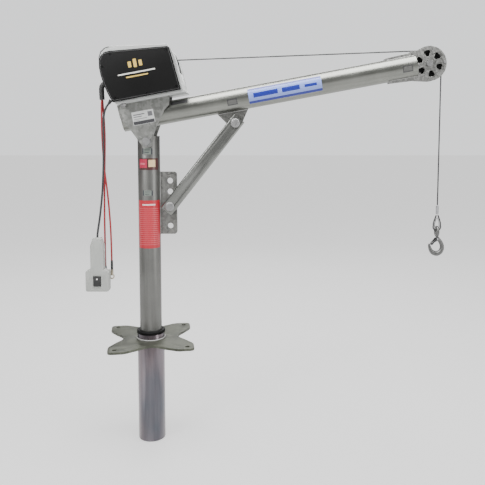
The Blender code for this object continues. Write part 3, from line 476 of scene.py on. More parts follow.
def zinc_plate(name, dark, light, rough=0.36, spangle=55, metallic=0.55):
    """Zinc-plated sheet: crystal mottling, drifting cloudiness and fine drawn scratches."""
    made, shader, place = new_finish(name, metallic=metallic)
    cloud = place.noise(7, 5.0)
    crystals = place.node("TexVoronoi", None, {"Vector": place, "Scale": spangle}, out=1)
    flake = crystals.node("SeparateColor", None, {0: crystals})
    scratch = place.noise(120, 2.0, (1, 1, 0.06))
    tone = cloud * 0.40 + flake * 0.34 + scratch * 0.26
    tone.blend(dark, light).feed(shader, "Base Color")
    (rough + cloud * 0.22 + flake * 0.08).feed(shader, "Roughness")
    (scratch * 0.5 + flake * 0.15 + place.noise(420, 2.0) * 0.35).bump(shader, 0.10, 0.0006)
    return made


WELD_STEP = 0.0011


def weld_bead(name, points, radius, closed=False):
    """A hand-laid fillet weld: one ripple every few millimetres along the joint."""
    run = [Vector(p) for p in points]
    if closed:
        run.append(run[0])
    dense = []
    for a, b in zip(run, run[1:]):
        steps = max(1, round((b - a).length / WELD_STEP))
        dense += [a.lerp(b, i / steps) for i in range(steps)]
    if not closed:
        dense.append(run[-1])
    swell = [radius * (0.9 + 0.16 * math.sin(i * 1.9) + random.uniform(-0.04, 0.04))
             for i in range(len(dense))]
    return round_bar(name, dense, radius, swell, cyclic=closed, sides=2)


def ring_points(radius, z, count=96):
    angles = [2 * math.pi * i / count for i in range(count)]
    return [(radius * math.cos(angle), radius * math.sin(angle), z) for angle in angles]


weld_metal = zinc_plate("weld_metal", (0.20, 0.20, 0.19), (0.40, 0.40, 0.39), rough=0.40, spangle=300)
SLEEVE_RADIUS = 0.0452
PLATE_THICK = 0.008
plate_zinc = zinc_plate("plate_zinc", (0.015, 0.017, 0.012), (0.150, 0.156, 0.125), rough=0.32, spangle=48,
                        metallic=0.8)
skinned("deck_plate", "base_plate", 0.0011, plate_zinc, "base", "zinc_plate", 3)
weld_ring = weld_bead("sleeve_weld", ring_points(SLEEVE_RADIUS + 0.0016, PLATE_THICK + 0.0010), 0.0028,
                      closed=True)
finish_piece(joined("sleeve_weld", [weld_ring]), weld_metal, "base", slot="zinc_plate")

# ---------------------------------------------------------------- socket sleeve and its bushes
# A bright-plated 90 mm tube with a floor at its foot. A black nylon bush lines its mouth, with a lip
# that the mast turns on, and another carries the mast's foot.


def bright_zinc(name, cool, warm):
    """Bright zinc plating: a clear passivate that drifts between blue and pink along drawn lines."""
    made, shader, place = new_finish(name, metallic=0.95)
    drawn = place.noise(70, 3.0, (1, 1, 0.05))
    cloud = place.noise(9, 4.0, (1, 1, 0.5))
    midway = tuple((a + b) / 2 for a, b in zip(cool, warm))
    colour = cloud.node("ValToRGB", {"stops": [(0.32, cool), (0.5, midway), (0.68, warm)]}, {"Fac": cloud})
    streak = place.noise(34, 1.5, (1, 1, 0.07))
    streak = streak.node("ValToRGB", {"stops": [(0.40, (0.30, 0.30, 0.31)), (0.60, (1, 1, 1))]},
                         {"Fac": streak})
    darker = drawn.blend((0.74, 0.74, 0.74), streak)
    stained = colour.node("Mix", {"data_type": "RGBA", "blend_type": "MULTIPLY"},
                          {0: 1.0, 6: colour, 7: darker}, 2)
    stained.feed(shader, "Base Color")
    (0.13 + drawn * 0.14 + place.noise(30, 3.0) * 0.08).feed(shader, "Roughness")
    (drawn * 0.7 + place.noise(350, 2.0) * 0.3).bump(shader, 0.08, 0.0004)
    return made


SLEEVE_TOP = 0.026
SLEEVE_FOOT = -0.340
SLEEVE_BORE = 0.0397
sleeve = lathe("deck_sleeve",
               [(SLEEVE_RADIUS, SLEEVE_FOOT), (SLEEVE_RADIUS, SLEEVE_TOP), (SLEEVE_BORE, SLEEVE_TOP),
                (SLEEVE_BORE, SLEEVE_FOOT)], sides=96, ring=True, edge=0.0009)
sleeve_zinc = bright_zinc("sleeve_zinc", (0.17, 0.185, 0.215), (0.30, 0.245, 0.26))
finish_piece(sleeve, sleeve_zinc, "base", "socket_sleeve", slot="bright_zinc")
DISC_RADIUS = SLEEVE_BORE - 0.0003
disc = lathe("sleeve_foot_disc",
             [(DISC_RADIUS, SLEEVE_FOOT + 0.002), (DISC_RADIUS, SLEEVE_FOOT + 0.008),
              (0.010, SLEEVE_FOOT + 0.008), (0.010, SLEEVE_FOOT + 0.002)], ring=True, edge=0.0005)
finish_piece(disc, plate_zinc, "base", "sleeve_floor", slot="zinc_plate")
nylon = moulded("black_nylon", (0.002, 0.002, 0.002), (0.006, 0.006, 0.006), 0.45, grain=500,
                Specular_IOR_Level=0.12)
BUSH_BORE = 0.0371
bush = lathe("mouth_bush",
             [(0.0394, -0.019), (0.0394, 0.0263), (0.0470, 0.0263), (0.0470, 0.0340), (0.0456, 0.0360),
              (0.0440, 0.0365), (BUSH_BORE + 0.0008, 0.0365), (BUSH_BORE, 0.0355), (BUSH_BORE, -0.019)],
             sides=96, ring=True, edge=0.0004)
finish_piece(bush, nylon, "base", "top_bush", slot="black_plastic")
foot_bush = lathe("foot_bush",
                  [(0.0394, -0.3317), (0.0394, -0.286), (BUSH_BORE, -0.286), (BUSH_BORE, -0.3255),
                   (0.012, -0.3255), (0.012, -0.3317)], sides=64, ring=True, edge=0.0004)
finish_piece(foot_bush, nylon, "base", "bottom_bush", slot="black_plastic")

# ---------------------------------------------------------------- mast
# A 73 mm galvanised tube. A plug closes its foot, a cross tube near its top carries the boom's pivot
# bolt, and a bracket with four holes is welded up its front.


def galvanised(name, dark, light, stretch, rough, metallic, tilt=0.0):
    """Galvanised tube: drawing marks run along its squeezed axis, on the slant if it is tilted about Y."""
    made, shader, place = new_finish(name, metallic=metallic)
    level = place.node("Mapping", None, {"Vector": place, "Rotation": (0, tilt, 0)})
    drawn = level.noise(95, 3.0, stretch)
    cloud = place.noise(11, 4.0)
    speck = place.noise(260, 2.0)
    (drawn * 0.45 + cloud * 0.4 + speck * 0.15).blend(dark, light).feed(shader, "Base Color")
    (rough + cloud * 0.16 + drawn * 0.08).feed(shader, "Roughness")
    (drawn * 0.6 + speck * 0.4).bump(shader, 0.10, 0.0005)
    return made


MAST_RADIUS = 0.0365
MAST_BORE = 0.0315
MAST_FOOT = -0.322
MAST_TOP = 0.687
mast_tube = lathe("mast_tube_skin", [(MAST_RADIUS, MAST_FOOT), (MAST_RADIUS, MAST_TOP), (MAST_BORE, MAST_TOP),
                                     (MAST_BORE, MAST_FOOT)], sides=96, ring=True, edge=0.0010)
mast_zinc = galvanised("mast_zinc", (0.05, 0.05, 0.046), (0.26, 0.26, 0.248), (1, 1, 0.045), 0.30, 0.8)
finish_piece(mast_tube, mast_zinc, "mast", "mast_tube", slot="zinc_tube")
turned_steel = zinc_plate("turned_steel", (0.30, 0.30, 0.31), (0.42, 0.42, 0.43), rough=0.28, spangle=160,
                          metallic=0.8)
plug = lathe("mast_plug", [(0.006, -0.325), (0.0345, -0.325), (0.0345, -0.3223), (0.0312, -0.3223),
                           (0.0312, -0.302), (0.006, -0.302)], sides=64, ring=True, edge=0.0005)
finish_piece(plug, turned_steel, "mast", "mast_foot_plug", slot="steel")
PIVOT = Vector((0, 0, 0.6685))
cross = lathe("pivot_cross_tube", [(0.013, -0.0364), (0.013, 0.0364), (0.0084, 0.0364), (0.0084, -0.0364)],
              Matrix.Translation(PIVOT) @ ACROSS, 48, ring=True, edge=0.0004)
finish_piece(cross, turned_steel, "mast", "mast_pivot_tube", slot="steel")
bracket_zinc = zinc_plate("bracket_zinc", (0.03, 0.03, 0.028), (0.29, 0.29, 0.275), rough=0.34, spangle=150,
                          metallic=0.75)
skinned("pin_bracket", "brace_bracket", 0.0010, bracket_zinc, "mast", "zinc_plate", 3)
beads = [weld_bead("weld", [(MAST_RADIUS + 0.0006, side * 0.0058, z) for z in (0.363, 0.567)], 0.0024)
         for side in (-1, 1)]
finish_piece(joined("bracket_welds", beads), weld_metal, "mast", slot="zinc_plate")


def printed(name, ground, bars, slant=0.0, centre=(0, 0, 0), rough=0.32):
    """A printed vinyl label: a plain ground with plain bars, each (x low, x high, z low, z high, colour)."""
    made, shader, place = new_finish(name, Coat_Weight=0.25, Coat_Roughness=0.2)
    moved = place.node("VectorMath", {"operation": "SUBTRACT"}, {0: place, 1: centre})
    level = moved.node("VectorRotate", {"rotation_type": "Y_AXIS"}, {"Vector": moved, "Angle": slant})
    split = level.node("SeparateXYZ", None, {0: level})
    across, up = (Flow(place.tree, split.socket.node.outputs[axis]) for axis in "XZ")
    wear = place.noise(60, 4.0)
    colour = wear.blend(tuple(c * 0.92 for c in ground), ground)
    for low, high, under, over, ink in bars:
        colour = (across.between(low, high) * up.between(under, over)).blend(colour, ink)
    colour.feed(shader, "Base Color")
    (rough + wear * 0.16).feed(shader, "Roughness")
    place.noise(300, 2.0).bump(shader, 0.05, 0.0002)
    return made


FILM = 0.00035


def wrapped_label(name, radius, low, high, start, end, matrix=Matrix()):
    """A label round a tube: from angle low to high, in degrees from local -Y, start to end up local Z."""
    bpy.ops.object.select_all(action="DESELECT")
    columns = max(4, round((high - low) / 5))
    bpy.ops.mesh.primitive_grid_add(x_subdivisions=columns, y_subdivisions=4, size=1)
    piece = bpy.context.object
    for vertex in piece.data.vertices:
        angle = math.radians(low + (high - low) * (vertex.co.x + 0.5))
        up = start + (end - start) * (vertex.co.y + 0.5)
        vertex.co = (radius * math.sin(angle), -radius * math.cos(angle), up)
    reshape(piece, "SOLIDIFY", thickness=FILM, offset=1)
    bpy.ops.object.shade_smooth_by_angle(angle=math.radians(40))
    return seat(piece, name, matrix)


# Labels on the mast: two small plates, a patch of two plain blocks and a tall red panel with fine bars.
PLATE_BARS = [(-0.020, -0.0125, 0.6, 0.7), (0.0125, 0.020, 0.6, 0.7), (-0.020, -0.0125, 0.4, 0.55),
              (0.0125, 0.020, 0.4, 0.55), (-0.009, 0.010, 0.6405, 0.6425), (-0.009, 0.006, 0.6320, 0.6340),
              (-0.009, 0.010, 0.5035, 0.5050), (-0.009, 0.006, 0.4960, 0.4975)]
small_plate = printed("small_plate_print", (0.15, 0.175, 0.155),
                      [(*bar, (0.02, 0.022, 0.03)) for bar in PLATE_BARS])
for label_name, low, high, start, end in (("mast_plate_upper", -26, 27, 0.627, 0.647),
                                          ("mast_plate_lower", -26, 27, 0.492, 0.509)):
    finish_piece(wrapped_label(label_name, MAST_RADIUS, low, high, start, end), small_plate, "mast",
                 slot="light_plastic")
patch_print = printed("patch_print", (0.055, 0.012, 0.012),
                      [(-0.030, -0.001, 0.5830, 0.6110, (0.36, 0.012, 0.045)),
                       (0.004, 0.025, 0.5860, 0.6090, (0.62, 0.46, 0.24)),
                       (-0.024, -0.008, 0.5930, 0.5990, (0.52, 0.10, 0.14))])
finish_piece(wrapped_label("mast_patch", MAST_RADIUS, -46, 62, 0.576, 0.614), patch_print, "mast",
             slot="light_plastic")
red_bars = [(-0.028, 0.033, 0.4480 - 0.0066 * i, 0.4491 - 0.0066 * i, (0.56, 0.12, 0.14)) for i in range(19)]
red_bars.append((-0.018, 0.024, 0.4595, 0.4640, (0.72, 0.55, 0.54)))
red_print = printed("red_panel_print", (0.40, 0.008, 0.020), red_bars)
finish_piece(wrapped_label("mast_red_panel", MAST_RADIUS, -62, 76, 0.3175, 0.476), red_print, "mast",
             slot="red_rubber")

# ---------------------------------------------------------------- boom tube and side plates
# The boom is the same 73 mm tube, raised ten and a half degrees. Two 5 mm side plates are welded
# under its root, and the pivot bolt passes through them and the mast.

BOOM_ANGLE = math.radians(10.5)
BOOM = Matrix.Translation(PIVOT) @ Matrix.Rotation(-BOOM_ANGLE, 4, "Y")
LENGTHWISE = Matrix.Rotation(math.pi / 2, 4, "Y")
BOOM_LIFT = 0.082
BOOM_RADIUS = 0.0365
BOOM_BORE = 0.0325
BOOM_ROOT = -0.069
BOOM_END = 0.904


def slotted_tube():
    """The boom tube, with the two slots at its outer end that the head plates are welded into."""
    tube = lathe("boom_tube_skin", [(BOOM_RADIUS, BOOM_ROOT), (BOOM_RADIUS, BOOM_END), (BOOM_BORE, BOOM_END),
                                    (BOOM_BORE, BOOM_ROOT)], sides=96, ring=True)
    tube.data.transform(Matrix.Translation((0, 0, BOOM_LIFT)) @ LENGTHWISE)
    for side in (-1, 1):
        bpy.ops.object.select_all(action="DESELECT")
        bpy.ops.mesh.primitive_cube_add(size=1, location=(0.8595, side * 0.013, BOOM_LIFT),
                                        scale=(0.1, 0.0066, 0.1))
        cutter = bpy.context.object
        reshape(tube, "BOOLEAN", object=cutter, solver="EXACT")
        bpy.data.objects.remove(cutter, do_unlink=True)
    break_edges(tube, 0.0009, 2, 40)
    bpy.ops.object.select_all(action="DESELECT")
    tube.select_set(True)
    bpy.ops.object.shade_smooth_by_angle(angle=math.radians(32))
    return seat(tube, "boom_tube_skin", BOOM)


boom_zinc = galvanised("boom_zinc", (0.075, 0.078, 0.066), (0.34, 0.345, 0.32), (0.045, 1, 1), 0.20, 0.92,
                       BOOM_ANGLE)
finish_piece(slotted_tube(), boom_zinc, "boom", "boom_tube", slot="zinc_tube")
cheek_zinc = zinc_plate("cheek_zinc", (0.07, 0.072, 0.066), (0.42, 0.425, 0.405), rough=0.34, spangle=110,
                        metallic=0.75)
for side_name in ("side_plate_near", "side_plate_far"):
    skinned(side_name + "_skin", side_name, 0.0009, cheek_zinc, "boom", "zinc_plate", 3)
CHEEK_IN = 0.0372
CHEEK_THICK = 0.005
WASHER_GAP = 0.0003
beads = []
for side in (-1, 1):
    for high in (0.0985, 0.0650):
        reach = math.sqrt(BOOM_RADIUS**2 - (high - BOOM_LIFT) ** 2)
        span = [BOOM @ Vector((u, side * (reach + (CHEEK_IN - reach) * 0.5), high)) for u in (-0.060, 0.055)]
        beads.append(weld_bead("weld", span, 0.0022))
finish_piece(joined("cheek_welds", beads), weld_metal, "boom", slot="zinc_plate")

# The label on the near side plate: pale above, with a dark bar along its foot.
LABEL_AT = (0.0046, 0.0785)
data_print = printed("data_plate_print", (0.70, 0.71, 0.70),
                     [(-0.034, 0.034, -0.0205, -0.0095, (0.05, 0.05, 0.055)),
                      (-0.031, -0.004, 0.0035, 0.0060, (0.10, 0.10, 0.11)),
                      (-0.031, 0.012, -0.0035, -0.0015, (0.22, 0.22, 0.23)),
                      (-0.031, 0.006, 0.0100, 0.0130, (0.10, 0.10, 0.11)),
                      (-0.031, -0.012, -0.0075, -0.0060, (0.22, 0.22, 0.23)),
                      (0.016, 0.031, 0.0010, 0.0160, (0.16, 0.16, 0.17))],
                     slant=BOOM_ANGLE, centre=tuple(BOOM @ Vector((LABEL_AT[0], 0, LABEL_AT[1]))))


def flat_label(name, width, height, corner, thick, matrix):
    """A small flat plate or sticker with rounded corners, lying in local X-Y."""
    bpy.ops.object.select_all(action="DESELECT")
    bpy.ops.mesh.primitive_plane_add(size=1, location=(0, 0, 0))
    piece = bpy.context.object
    piece.data.transform(Matrix.Diagonal((width, height, 1, 1)))
    bpy.ops.object.mode_set(mode="EDIT")
    bpy.ops.mesh.select_all(action="SELECT")
    bpy.ops.mesh.bevel(offset=corner, segments=5, affect="VERTICES")
    bpy.ops.mesh.select_all(action="SELECT")
    bpy.ops.mesh.extrude_region_move(TRANSFORM_OT_translate={"value": (0, 0, thick)})
    bpy.ops.mesh.select_all(action="SELECT")
    bpy.ops.mesh.normals_make_consistent(inside=False)
    bpy.ops.object.mode_set(mode="OBJECT")
    bpy.ops.object.shade_smooth_by_angle(angle=math.radians(30))
    return seat(piece, name, matrix)


spot = BOOM @ Matrix.Translation((LABEL_AT[0], -CHEEK_IN - CHEEK_THICK, LABEL_AT[1])) @ FACING_OUT
finish_piece(flat_label("data_plate", 0.071, 0.043, 0.002, 0.0004, spot), data_print, "boom",
             slot="light_plastic")

# Stickers and the plain blue stripe along the boom's near side. ABOUT_BOOM turns a label that is
# wrapped round local Z so that it is wrapped round the boom, with its zero angle facing -Y.
ABOUT_BOOM = BOOM @ Matrix.Translation((0, 0, BOOM_LIFT)) @ Matrix(((0, 0, 1, 0), (0, 1, 0, 0), (-1, 0, 0, 0),
                                                                    (0, 0, 0, 1)))
sticker_print = printed("sticker_print", (0.03, 0.03, 0.032), [], rough=0.28)
pale_print = printed("pale_sticker_print", (0.085, 0.085, 0.08), [], rough=0.30)
for label_name, low, high, start, end, ink in (("boom_sticker_1", -52, -30, 0.099, 0.154, sticker_print),
                                               ("boom_sticker_2", -4, 28, 0.279, 0.312, sticker_print),
                                               ("boom_sticker_2_bar", 1, 23, 0.2815, 0.3095, pale_print),
                                               ("boom_sticker_3", -8, 26, 0.854, 0.887, sticker_print),
                                               ("boom_sticker_3_bar", -3, 21, 0.8565, 0.8845, pale_print)):
    radius = BOOM_RADIUS + (0.0004 if "bar" in label_name else 0)
    finish_piece(wrapped_label(label_name, radius, low, high, start, end, ABOUT_BOOM), ink, "boom",
                 slot="light_plastic")


def stripe_print():
    """A pale blue band with a darker blue line along each long edge and three plain slanted bars."""
    edge = 0.0235
    ink = (0.006, 0.016, 0.22)
    return printed("stripe_print", (0.20, 0.27, 0.62),
                   [(-1, 1, edge - 0.0050, edge, ink), (-1, 1, -edge, -edge + 0.0075, ink),
                    (-0.104, -0.024, -0.0065, 0.0085, ink), (-0.010, 0.048, -0.0065, 0.0085, ink),
                    (0.064, 0.104, -0.0035, 0.0055, ink)],
                   slant=BOOM_ANGLE, centre=tuple(BOOM @ Vector((0.470, 0, BOOM_LIFT))))


finish_piece(wrapped_label("boom_stripe", BOOM_RADIUS, -40, 40, 0.350, 0.590, ABOUT_BOOM), stripe_print(),
             "boom", slot="light_plastic")

# ---------------------------------------------------------------- pivot bolt
# A 16 mm hex bolt with a washer under its head, and a washer and lock nut on the far side.


HEX_EDGE = 0.0011


def hex_bar(name, across, low, high, matrix):
    """A hexagon head or nut with chamfered corners, from low to high up local Z."""
    corner = across / 2 / math.cos(math.pi / 6)
    profile = [(corner * 0.93, low), (corner, low + HEX_EDGE), (corner, high - HEX_EDGE),
               (corner * 0.93, high)]
    return lathe(name, profile, matrix, 6)


def washer(name, outer, inner, low, high, matrix):
    return lathe(name, [(outer, low), (outer, high), (inner, high), (inner, low)], matrix, 48, ring=True,
                 edge=0.0003)


bolt_steel = zinc_plate("bolt_steel", (0.22, 0.22, 0.22), (0.34, 0.34, 0.34), rough=0.30, spangle=200,
                        metallic=0.85)
bolt_y = CHEEK_IN + CHEEK_THICK + WASHER_GAP
spot = BOOM @ ACROSS
pivot = joined("pivot_bolt_set",
               [hex_bar("head", 0.0235, -bolt_y - 0.011, -bolt_y - 0.003, spot),
                lathe("shank", [(0.008, -bolt_y - 0.003), (0.008, bolt_y + 0.019), (0.0068, bolt_y + 0.0190)],
                      spot, 40, edge=0.0004),
                washer("washer_1", 0.015, 0.0081, -bolt_y - 0.003, -bolt_y, spot),
                washer("washer_2", 0.015, 0.0081, bolt_y, bolt_y + 0.003, spot),
                hex_bar("nut", 0.0235, bolt_y + 0.003, bolt_y + 0.0145, spot)])
finish_piece(pivot, bolt_steel, "boom", "pivot_bolt", slot="steel")

# ---------------------------------------------------------------- brace lug
# A 10 mm plate welded under the boom, with the hole that the brace's upper pin turns in.

skinned("lug_plate", "brace_lug", 0.0010, bracket_zinc, "boom", "zinc_plate", 3)
beads = [weld_bead("weld", [BOOM @ Vector((u, side * 0.0062, BOOM_LIFT - BOOM_RADIUS - 0.0012))
                            for u in (0.243, 0.340)], 0.0025) for side in (-1, 1)]
finish_piece(joined("lug_welds", beads), weld_metal, "boom", slot="zinc_plate")

# ---------------------------------------------------------------- brace
# A 45 mm square tube, slotted at both ends so that it straddles the lug above and the bracket below.
# A headed 16 mm pin with a nut holds each end.

LUG_AT = BOOM @ Vector((0.2926, 0, 0.007))
PIN_AT = Vector((0.070, 0, 0.454))
BRACE_LONG = (PIN_AT - LUG_AT).length
brace_tilt = math.atan2(PIN_AT.z - LUG_AT.z, PIN_AT.x - LUG_AT.x)
BRACE = Matrix.Translation(LUG_AT) @ Matrix.Rotation(-brace_tilt, 4, "Y")
BRACE_FACE = 0.0225


def brace_zinc():
    """The brace's plating, with its drawing marks running down the slanted tube."""
    made, shader, place = new_finish("brace_zinc", metallic=0.9)
    level = place.node("Mapping", None, {"Vector": place, "Rotation": (0, brace_tilt, 0)})
    drawn = level.noise(110, 3.0, (0.05, 1, 1))
    cloud = place.noise(9, 5.0)
    (drawn * 0.4 + cloud * 0.6).blend((0.05, 0.051, 0.047), (0.40, 0.405, 0.385)).feed(shader, "Base Color")
    (0.18 + cloud * 0.2).feed(shader, "Roughness")
    (drawn * 0.6 + place.noise(300, 2.0) * 0.4).bump(shader, 0.10, 0.0005)
    return made


skinned("brace_tube", "brace_bar", 0.0007, brace_zinc(), "brace", "zinc_plate")
EAR = BRACE_FACE + WASHER_GAP


def pin_head(spot):
    """The pin's low domed head, turned with a flat face and a rounded rim."""
    return lathe("pin_head", [(0.0150, -EAR), (0.0150, -EAR - 0.0018), (0.0142, -EAR - 0.0030),
                              (0.0120, -EAR - 0.0042), (0.0060, -EAR - 0.0045)], spot, 56)


for pin_name, along, nodes in (("upper_pin", 0, ("brace_upper_pin",)),
                               ("lower_pin", BRACE_LONG, ("brace_lower_pin_head", "brace_lower_pin_nut"))):
    spot = BRACE @ Matrix.Translation((along, 0, 0)) @ ACROSS
    stubs = [(-EAR, EAR + 0.0090)] if along == 0 else [(-EAR, -0.0095), (0.0095, EAR + 0.0090)]
    shanks = [lathe("shank", [(0.0075, a), (0.0080, a + 0.0005), (0.0080, b - 0.001), (0.0070, b)], spot, 40)
              for a, b in stubs]
    pin = joined(pin_name + "_set",
                 [pin_head(spot), hex_bar("nut", 0.0205, EAR, EAR + 0.0082, spot)] + shanks)
    finish_piece(pin, bolt_steel, "brace", *nodes, slot="steel")

# ---------------------------------------------------------------- boom head and sheave
# Two 6 mm head plates are welded into the tube's slots. Each has six openings round the hub, and a sheave,
# drawn plain black, with a brass bush turns between them on a 12 mm bolt. A pin at the rim keeps the rope in
# its groove.

head_zinc = zinc_plate("head_zinc", (0.03, 0.03, 0.028), (0.39, 0.39, 0.375), rough=0.32, spangle=170,
                       metallic=0.75)
for side_name in ("head_plate_near", "head_plate_far"):
    skinned(side_name + "_skin", side_name, 0.0008, head_zinc, "boom", "zinc_plate", 3)
SHEAVE_AT = (0.947, 0, 0.0815)
HUB = BOOM @ Matrix.Translation(SHEAVE_AT) @ ACROSS
HEAD_FACE = 0.0163
bolt = joined("sheave_bolt_set",
              [hex_bar("head", 0.0185, -HEAD_FACE - 0.0060, -HEAD_FACE - 0.0005, HUB),
               washer("washer_1", 0.0100, 0.0061, -HEAD_FACE - 0.0008, -HEAD_FACE, HUB),
               lathe("shank",
                     [(0.0060, -HEAD_FACE - 0.003), (0.0060, HEAD_FACE + 0.0085),
                      (0.0050, HEAD_FACE + 0.0090)], HUB, 40),
               hex_bar("nut", 0.0185, HEAD_FACE + 0.0006, HEAD_FACE + 0.0080, HUB)])
finish_piece(bolt, bolt_steel, "boom", "sheave_bolt", slot="steel")
KEEPER = BOOM @ Matrix.Translation((SHEAVE_AT[0] + 0.0497, 0, SHEAVE_AT[2] - 0.0041)) @ ACROSS
keeper = lathe("keeper_pin",
               [(0.0043, -HEAD_FACE - 0.0029), (0.0049, -HEAD_FACE - 0.0022), (0.0049, -HEAD_FACE),
                (0.0030, -HEAD_FACE), (0.0030, HEAD_FACE), (0.0049, HEAD_FACE), (0.0049, HEAD_FACE + 0.0022),
                (0.0043, HEAD_FACE + 0.0029)], KEEPER, 32)
finish_piece(keeper, bolt_steel, "boom", "rope_keeper_pin", slot="steel")
beads = []
for side in (-1, 1):
    for high in (-1, 1):
        y = side * 0.0165
        rise = math.sqrt(BOOM_RADIUS**2 - y**2)
        beads.append(weld_bead("weld", [BOOM @ Vector((u, y, BOOM_LIFT + high * (rise + 0.0006)))
                                        for u in (0.8115, 0.900)], 0.0021))
finish_piece(joined("head_welds", beads), weld_metal, "boom", slot="zinc_plate")
pulley = lathe("sheave_wheel", [(0.0085, -0.0095), (0.0150, -0.0095), (0.0170, -0.0070), (0.0340, -0.0070),
                                (0.0360, -0.0095), (0.0455, -0.0095), (0.0462, -0.0080), (0.0415, -0.0028),
                                (0.0405, -0.0012), (0.0403, 0.0), (0.0405, 0.0012), (0.0415, 0.0028),
                                (0.0462, 0.0080), (0.0455, 0.0095), (0.0360, 0.0095), (0.0340, 0.0070),
                                (0.0170, 0.0070), (0.0150, 0.0095), (0.0085, 0.0095)], HUB, 72, ring=True)
finish_piece(pulley, nylon, "sheave", "sheave", slot="black_plastic")
bush_brass = moulded("bush_brass", (0.42, 0.32, 0.13), (0.58, 0.45, 0.20), 0.28, Metallic=0.95)
finish_piece(lathe("sheave_sleeve",
                   [(0.0082, -0.0093), (0.0082, 0.0093), (0.0063, 0.0093), (0.0063, -0.0093)], HUB, 40,
                   ring=True, edge=0.0003), bush_brass, "sheave", "sheave_bush", slot="brass")

# ---------------------------------------------------------------- wire rope
# Galvanised wire rope, 4.8 mm, laid up from six strands round a core. It runs from the drum over the
# sheave and hangs to the hook.

ROPE_RADIUS = 0.0024
LAY = 0.030
STRANDS = 6


def strands(name, path):
    """Six strands wound round the path, with a core bar through their middle."""
    points = [Vector(p) for p in path]
    made = [round_bar("core", points, ROPE_RADIUS * 0.55, sides=1)]
    travelled = 0.0
    frames = []
    for i, point in enumerate(points):
        after = points[min(i + 1, len(points) - 1)]
        before = points[max(i - 1, 0)]
        along = (after - before).normalized()
        side = Vector((0, 1, 0)) if abs(along.y) < 0.8 else Vector((0, 0, 1))
        up = along.cross(side).normalized()
        travelled += (point - before).length
        frames.append((point, side, up, travelled))
    for strand in range(STRANDS):
        line = []
        for point, side, up, gone in frames:
            angle = 2 * math.pi * (strand / STRANDS + gone / LAY)
            line.append(point + (side * math.cos(angle) + up * math.sin(angle)) * ROPE_RADIUS * 0.66)
        made.append(round_bar("strand", line, ROPE_RADIUS * 0.345, sides=1))
    return joined(name, made)


def wire_finish():
    made, shader, place = new_finish("rope_wire", metallic=0.75)
    fine = place.noise(900, 2.0)
    tone = place.noise(40, 3.0) * 0.6 + fine * 0.4
    tone.blend((0.03, 0.03, 0.03), (0.14, 0.14, 0.14)).feed(shader, "Base Color")
    (0.32 + fine * 0.2).feed(shader, "Roughness")
    fine.bump(shader, 0.25, 0.0003)
    return made


rope_wire = wire_finish()
DRUM_AT = Vector((0.035, 0.216))
HUB_AT = Vector((0.947, 0.0815))
DRUM_ROPE = 0.0421
HUB_ROPE = 0.0433
RUN_STEPS = 180
WRAP_STEPS = 36
TAKE_UP_STEPS = 12
TAKE_UP = math.radians(26.7)
run_line = HUB_AT - DRUM_AT
lean = math.asin((HUB_ROPE - DRUM_ROPE) / run_line.length)
up_angle = math.atan2(run_line.y, run_line.x) + math.pi / 2 + lean
outward = Vector((math.cos(up_angle), math.sin(up_angle)))
run_start = DRUM_AT + outward * DRUM_ROPE + Vector((outward.y, -outward.x)) * 0.0228
run_end = HUB_AT + outward * HUB_ROPE
flat_path = [run_start.lerp(run_end, i / RUN_STEPS) for i in range(RUN_STEPS)]
for i in range(WRAP_STEPS + 1):
    angle = up_angle + (-BOOM_ANGLE - up_angle) * i / WRAP_STEPS
    flat_path.append(HUB_AT + Vector((math.cos(angle), math.sin(angle))) * HUB_ROPE)
run_rope = strands("rope_over_sheave", [BOOM @ Vector((p.x, 0, p.y)) for p in flat_path])
finish_piece(run_rope, rope_wire, "boom", "rope_run", slot="wire_rope")
sheave_world = BOOM @ Vector(SHEAVE_AT)
ROPE_X = sheave_world.x + HUB_ROPE
ROPE_END = 0.4562
DROP_TOP = sheave_world.z - 0.0003
DROP_STEPS = 110
drop = strands("rope_drop_line", [(ROPE_X, 0, DROP_TOP - (DROP_TOP - ROPE_END) * i / DROP_STEPS)
                                  for i in range(DROP_STEPS + 1)])
finish_piece(drop, rope_wire, "rope_hang", "rope_drop", slot="wire_rope")
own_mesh(drop)
over_points = [(sheave_world.x + HUB_ROPE * math.cos(a), 0, sheave_world.z + HUB_ROPE * math.sin(a))
               for a in (TAKE_UP * i / TAKE_UP_STEPS for i in range(TAKE_UP_STEPS + 1))]
finish_piece(round_bar("rope_take_up", over_points, ROPE_RADIUS * 0.9, sides=3), rope_wire, "rope_hang",
             slot="wire_rope")

# ---------------------------------------------------------------- ferrule, eye and thimble
# The rope's end is turned back round a pressed steel thimble and closed in a swaged ferrule.

EYE_Z = 0.3685
EYE_RADIUS = 0.0145
EYE_WIRE = 0.0046
FERRULE_LOW = 0.4259
FERRULE_TOP = 0.4559
THIMBLE_LOW = EYE_Z + EYE_RADIUS - EYE_WIRE - 0.0003 - 0.0014


def eye_path(width, low, high, count):
    """A teardrop, round below and narrow at its top, through closely spaced points."""
    centre = low + width
    angles = [math.radians(165 + 210 * i / (count - 1)) for i in range(count)]
    points = [(width * math.cos(a), centre + width * math.sin(a)) for a in angles]
    rise = [(width * 0.90, centre + (high - centre) * 0.35), (width * 0.62, centre + (high - centre) * 0.65),
            (width * 0.22, high)]
    left = [(-x, z) for x, z in rise[::-1]]
    return [(ROPE_X + x, 0, z) for x, z in left + points + rise]


